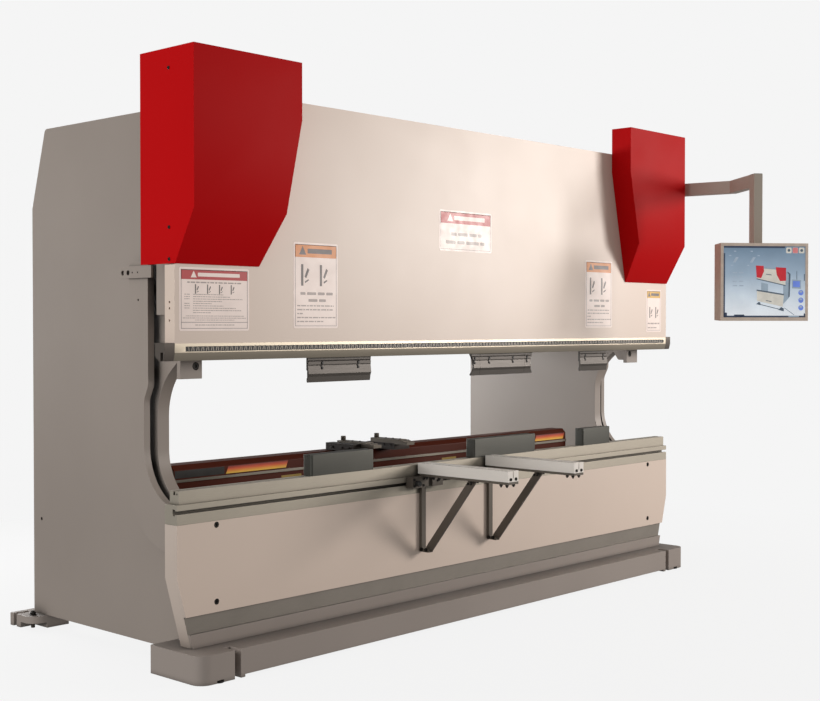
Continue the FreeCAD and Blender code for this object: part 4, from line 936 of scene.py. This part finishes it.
def monitor_frame():
    """A raised bezel round the display, vents and mounting details behind."""
    outer_x, outer_z = (-252.8, 252.8), (1467.2, 1898.3)
    inner_x, inner_z = (-236.5, 236.5), (1486.5, 1881.5)
    gap = 0.2
    front, rim = -134.9, (0, 5.4)
    bezel = Shape()
    for z in ((inner_z[1] + gap, outer_z[1]), (outer_z[0], inner_z[0] - gap)):
        bezel.decal(outer_x, z, front, rim)
    for x in ((outer_x[0], inner_x[0] - gap), (inner_x[1] + gap, outer_x[1])):
        bezel.decal(x, (inner_z[0] + gap, inner_z[1] - gap), front, rim)
    bezel.finish("monitor_bezel", "monitor", BEZEL, "monitor_shell", 0.8, DROP)
    back = -34.6
    # black plates stand in for the vent openings: painted shade
    rear = Shape()
    for i in range(12):
        z = 1540 + 14 * i
        for x in ((-180, -80), (80, 180)):
            rear.decal(x, (z, z + 6), back, (0, 1.2), 3)
    rear.finish("monitor_vents", "monitor", BLACK, "monitor_shell", matrix=DROP)
    plate = Shape()
    plate.decal((-60, 60), (1730, 1872), back, (0, 4.6), 8)
    for x in (-48, 48):
        for z in (1742, 1860):
            plate.socket_screw((x, -30.2, z), "y", 5, 4)
    plate.finish("monitor_mount", "monitor", DARK, "monitor_shell", 0.5, DROP)
    collar = Shape()
    collar.lathe([(20.3, 0), (31, 0), (32, 1), (32, 15), (31, 16), (20.3, 16)], (0, 0, 1851), "z",
                 48)
    for angle in (0.6, 2.7, 4.8):
        collar.lathe([(4, 0), (4, 6)], (26 * math.cos(angle), 26 * math.sin(angle), 1862), "z", 16)
    collar.finish("monitor_collar", "monitor", DARK, "monitor_shell", 0.4, DROP)


def boom_details():
    """The boom's end cap, its hub rings, pin nut and bracket screws."""
    post, bracket_face = (1855, 330), 1676.6
    cap = Shape()
    cap.plate("z", (-23, -35, 2293.9), (23, 35, 2295.4), 3)
    turn = Matrix.Rotation(math.radians(-39.3), 4, "Z")
    cap.finish("boom_end_cap", "boom", BLACK, "boom_paint", 0.4, HANGER @ turn)
    hub = Shape()
    for z in (2203, 2300):
        hub.lathe([(40.2, 0), (42, 1), (42, 10), (40.2, 11)], (*post, z), "z", 48)
    hub.finish("boom_hub_rings", "boom", DARK, "boom_paint")
    top = Shape()
    top.lathe([(24, 0), (24, 3), (22, 4), (10, 4)], (*post, 2335), "z", 32)
    top.hexagon((*post, 0), "z", 15, 2339, 2350, 0.2)
    for y in (300, 360):
        for z in (2195, 2325):
            top.socket_screw((bracket_face, y, z), "x", 7, 6)
    top.finish("boom_pin_nut", "frame", SCREW, "frame_paint", 0.5)


SKY = ramp_print("screen_blue", 1.487, 1.881,
                 [(0.0, "#eef4fa"), (0.3, "#d3e0ec"), (0.62, "#9db2c6"), (1.0, "#6f879e")],
                 glow=0.35)
NAVY = plastic("screen_navy", "#46526a", 0.35, glow=0.1)
PALE = plastic("screen_pale", "#e9e6dc", 0.35, glow=0.15)
FAINT = plastic("screen_faint", "#a9b9ca", 0.35, glow=0.25)
SLATE = plastic("screen_slate", "#5f6f80", 0.35, glow=0.1)
STEEL_BLUE = plastic("screen_side", "#9fb2c2", 0.35, glow=0.2)
RED_GLOW = plastic("screen_red", "#d2303c", 0.35, glow=0.2)
PINK_GLOW = plastic("screen_stop", "#e58a8c", 0.35, glow=0.2)
BLUE_GLOW = plastic("screen_button_blue", "#6f8ae0", 0.35, glow=0.3)
screen_picture()
monitor_frame()
boom_details()


# ---------------- base and feet

def base_details():
    """Nuts and studs at the rear feet, front jack feet and weld beads."""
    nuts = Shape()
    for _, side in SIDES:
        x, y, top = side * 1700, 1295, 61
        nuts.lathe([(9.6, 0), (15, 0), (16, 0.8), (16, 2.6), (9.6, 2.6)], (x, y, top), "z", 32)
        nuts.hexagon((x, y, 0), "z", 14, top + 2.6, top + 13, 0.35)
        nuts.lathe([(8.6, 0), (8.6, 18), (7.4, 20), (0.5, 20)], (x, y, top), "z", 24)
        front_foot = (side * 1717.5, -119, 0)
        nuts.lathe([(9.6, 0.4), (24, 0.4), (24, 5), (21, 8), (9.6, 8)], front_foot, "z", 32)
    nuts.screws("jack_nuts", bevel=0.5)
    weld = Shape()
    start, end, base_top = 84, 192, 118.8
    for _, side in SIDES:
        for face, out in ((1597, -side), (1657, side)):
            x = side * face
            weld.prism([(x, base_top), (x + out * 7, base_top), (x + out * 4, 122.5), (x, 126)],
                       "y", start, end)
    weld.finish("base_welds", "frame", TAUPE_DARK, "frame_paint")


base_details()


# ---------------- power pack and cabinet

def circle(x, y, radius, count, start=0.0):
    """Points evenly round a circle; start turns them by a share of the spacing."""
    turns = [math.tau * (i + start) / count for i in range(count)]
    return [(x + radius * math.cos(turn), y + radius * math.sin(turn)) for turn in turns]


def motor_details():
    """Fins, cowl, grille and flange screws of the pump's motor."""
    base = span("pump_motor")[0].z
    x, y = -350, 725
    count, terminal_box = 36, 0.35  # fins near the terminal box are left out
    fins = Shape()
    for i in range(count):
        angle = math.tau * i / count
        if abs(math.sin(angle) - 1) < terminal_box:
            continue
        fin = bmesh.ops.create_cube(fins.mesh, size=1.0)
        turn = (Matrix.Translation((x, y, base + 110)) @ Matrix.Rotation(angle, 4, "Z")
                @ Matrix.Translation((114, 0, 0)) @ Matrix.Diagonal((9, 3, 170, 1)))
        bmesh.ops.transform(fins.mesh, matrix=turn, verts=fin["verts"])
    fins.finish("motor_fins", "frame", TANK, "tank_paint", 0.6)
    cowl = Shape()
    cowl.lathe([(114, 0), (116, 2), (116, 44), (110, 50), (96, 52), (40, 52.5), (1, 52.5)],
               (x, y, base + 198), "z", 64)
    cowl.finish("motor_cowl", "frame", TANK, "tank_paint")
    # black discs stand in for the grille's holes: painted shade
    slots = Shape()
    for radius, lid in ((30, 250.4), (50, 250.4), (70, 250.4), (88, 250)):
        for place in circle(x, y, radius, int(radius / 4)):
            slots.lathe([(3.4, 0), (3.4, 0.8)], (*place, base + lid), "z", 12)
    slots.finish("motor_grille", "frame", BLACK, "tank_paint")
    flange = Shape()
    for place in circle(x, y, 92, 6, 0.5):
        flange.socket_screw((*place, base - 0.2), "z", 7, 7)
    flange.screws("motor_screws", bevel=0.4)


def valve_details():
    """Coils on the valve block, unions on its ports and on the cylinders."""
    coils = Shape()
    for x in (250, 350, 450):
        coils.plate("z", (x - 27, 533, 2172), (x + 27, 587, 2214), 8)
        coils.plate("z", (x - 16, 500, 2176), (x + 16, 534, 2204), 4)
        coils.lathe([(13, 0), (13, 9), (11, 11), (1, 11)], (x, 560, 2231), "z", 32, 8, 1.5)
    coils.finish("valve_coils", "frame", BLACK, "dark_steel", 1.0)
    level, axis = 2120, 560
    ports = Shape()
    for x in (195, 275, 355, 435, 505):
        ports.hexagon((x, 0, level), "y", 15, 466, 480.5, 0.3)
        ports.lathe([(9, 0), (9, 8), (8, 9), (0.5, 9)], (x, 458, level), "y", 24)
    for x, out in ((150, -1), (550, 1)):
        ports.hexagon((0, axis, level), "x", 22, *sorted((x, x + out * 22)), 0.3)
        ports.lathe([(17.5, 0), (17.5, out * 16)], (x + out * 22, axis, level), "x", 32)
    for _, side in SIDES:
        ports.lathe([(24, 0), (24, 14), (18, 18), (18, 26)], (side * 1560, 39.4, 2400), "z", 32)
    ports.finish("pipe_unions", "frame", PIPE, "dark_steel", 0.6)


def tank_details():
    """The tank's filler cap, level gauge and lid screws."""
    cap = Shape()
    cap.lathe([(43, 0), (46, 2), (46, 14), (43, 17), (30, 18), (1, 18.5)], (560, 860, 2113), "z",
              64, 20, 1.4)
    cap.finish("filler_cap", "frame", BLACK, "black_plastic")
    Shape().plate("y", (-620, 1010, 1700), (-585, 1021, 1860), 6).finish(
        "level_gauge_back", "frame", BLACK, "black_plastic", 0.8)
    Shape().plate("y", (-609, 1020, 1715), (-596, 1024, 1845), 5).finish(
        "level_gauge_glass", "frame", YELLOW_INK, "screen_glass", 1.0)
    rim = Shape()
    lid_top = 2071.8
    for x in range(-690, 691, 230):
        for y in (448, 1002):
            rim.socket_screw((x, y, lid_top), "z", 7, 6)
    rim.screws("lid_screws", bevel=0.4)


def cylinder_details():
    """Bands and end screws of the lifting cylinders, clear of the pipe unions."""
    y, clear, top, bottom = 39.4, 34, 2399.8, 1824.2
    for name, side in SIDES:
        x = side * 1627
        rings = Shape()
        rings.lathe([(100.2, 2330), (103, 2332), (103, 2396), (100.2, 2398)], (x, y, 0), "z", 64)
        rings.lathe([(100.2, 1852), (103, 1854), (103, 1884), (100.2, 1886)], (x, y, 0), "z", 64)
        rings.finish(f"cylinder_bands_{name}", "frame", DARK, "dark_steel", 0.6)
        bolts = Shape()
        for place in circle(x, y, 86, 8, 0.5):
            if abs(place[0] - side * 1560) > clear or abs(place[1] - y) > clear:
                bolts.socket_screw((*place, top), "z", 9, 9)
            bolts.socket_screw((*place, bottom), "z", 9, 9, -1)
        bolts.screws(f"cylinder_screws_{name}", bevel=0.4)


def cabinet_details():
    """The door's louvres, raised panel and handle, and the cabinet's slots."""
    low, high = span("cabinet_door")
    face = 1309.5
    inside = face - 0.2
    left, right = low.x + 40, high.x - 90
    louvres = Shape()
    for i in range(9):
        z = 1480 + 16 * i
        louvres.prism([(inside, z), (face + 6, z + 1), (face + 7, z + 3), (inside, z + 9)], "x",
                      left + 60, right - 60)
    louvres.finish("door_louvres", "door", CABINET, "cabinet_paint", 0.4)
    Shape().plate("y", (left, inside, 1900), (right, face + 2.5, 2070), 10).finish(
        "door_panel_raised", "door", CABINET, "cabinet_paint", 0.8)
    lock = Shape()
    x = high.x - 41
    lock.plate("y", (x - 16, inside, 1730), (x + 16, face + 5, 1820), 8)
    lock.plate("y", (x - 7, face + 4, 1738), (x + 7, face + 11.5, 1800), 6)
    lock.finish("door_handle", "door", BLACK, "black_plastic", 0.8)
    # black plates stand in for the slots' dark openings: painted shade
    fan = Shape()
    wall, front, back = 994.6, 1080, 1200
    for i in range(7):
        z = 1560 + 14 * i
        fan.plate("x", (wall, front, z), (wall + 2.6, back, z + 6), 3)
    fan.finish("cabinet_slots", "frame", BLACK, "cabinet_paint")


motor_details()
valve_details()
tank_details()
cylinder_details()
cabinet_details()


# ---------------- camera, light, floor

PALE_GREY = shade("#f5f5f5")


def set_camera():
    camera = bpy.data.cameras.new("camera")
    camera.sensor_width = 36
    camera.lens = 58.35
    camera.clip_end = 200
    holder = add_object("camera", camera)
    holder.location = (-5.109, -4.325, 1.4436)
    holder.rotation_euler = (math.radians(90 - 1.096), 0, math.radians(-47.138))
    bpy.context.scene.camera = holder


def set_world():
    """Soft light, a little stronger from above, behind a plain backdrop."""
    n = Nodes("studio", "worlds", "Background")
    bpy.context.scene.world = n.block
    split = n.add("SeparateXYZ")
    n.link(n.add("TexCoord").outputs["Generated"], split.inputs[0])
    strength = n.between(split.outputs["Z"], 0.34, 0.40, (-0.4, 0.4))
    n.set(Color=(1.0, 0.985, 0.97, 1), Strength=strength)
    plain = n.add("Background", Color=PALE_GREY)
    seen = n.add("LightPath").outputs["Is Camera Ray"]
    n.blend(seen, n.shader.outputs[0], plain.outputs[0], "World Output")


def lamp(name, place, aim, size, power, tint=(1, 1, 1)):
    """An area lamp the camera does not see."""
    light = bpy.data.lights.new(name, "AREA")
    light.shape = "RECTANGLE"
    light.size, light.size_y = size
    light.energy = power
    light.color = tint
    thing = add_object(name, light)
    thing.visible_camera = False
    thing.location = place
    thing.rotation_euler = (Vector(aim) - Vector(place)).to_track_quat("-Z", "Y").to_euler()


def lay_floor():
    """A pale floor that turns into the backdrop with distance."""
    n = Nodes("floor_pale")
    length = n.add("VectorMath", operation="LENGTH")
    n.link(n.add("TexCoord").outputs["Object"], length.inputs[0])
    far = n.between(length.outputs["Value"], 0.94, 1.0, (1.8, 4.5))
    n.set(Base_Color=shade("#f0f0f0"), Roughness=0.7)
    glow = n.add("Emission", Color=PALE_GREY)
    n.blend(far, n.shader.outputs[0], glow.outputs[0], "Material Output")
    floor = bmesh.new()
    bmesh.ops.create_circle(floor, cap_ends=True, segments=96, radius=60)
    ground = from_mesh("floor", floor, n.block)
    ground.visible_diffuse = False
    ground.visible_glossy = False


bpy.context.scene.view_settings.view_transform = "Standard"
set_camera()
set_world()
lamp("key", (6.5, -5.4, 2.8), (0.2, 0.0, 1.8), (2.4, 2.4), 500, (1.0, 0.935, 0.885))
lamp("fill", (-7.0, 0.4, 2.6), (-1.6, 0.6, 1.2), (3.0, 3.0), 185, (1.0, 0.99, 0.98))
lamp("back", (-1.1, 4.6, 1.7), (1.6, 0.6, 1.1), (2.0, 1.6), 190)
lay_floor()
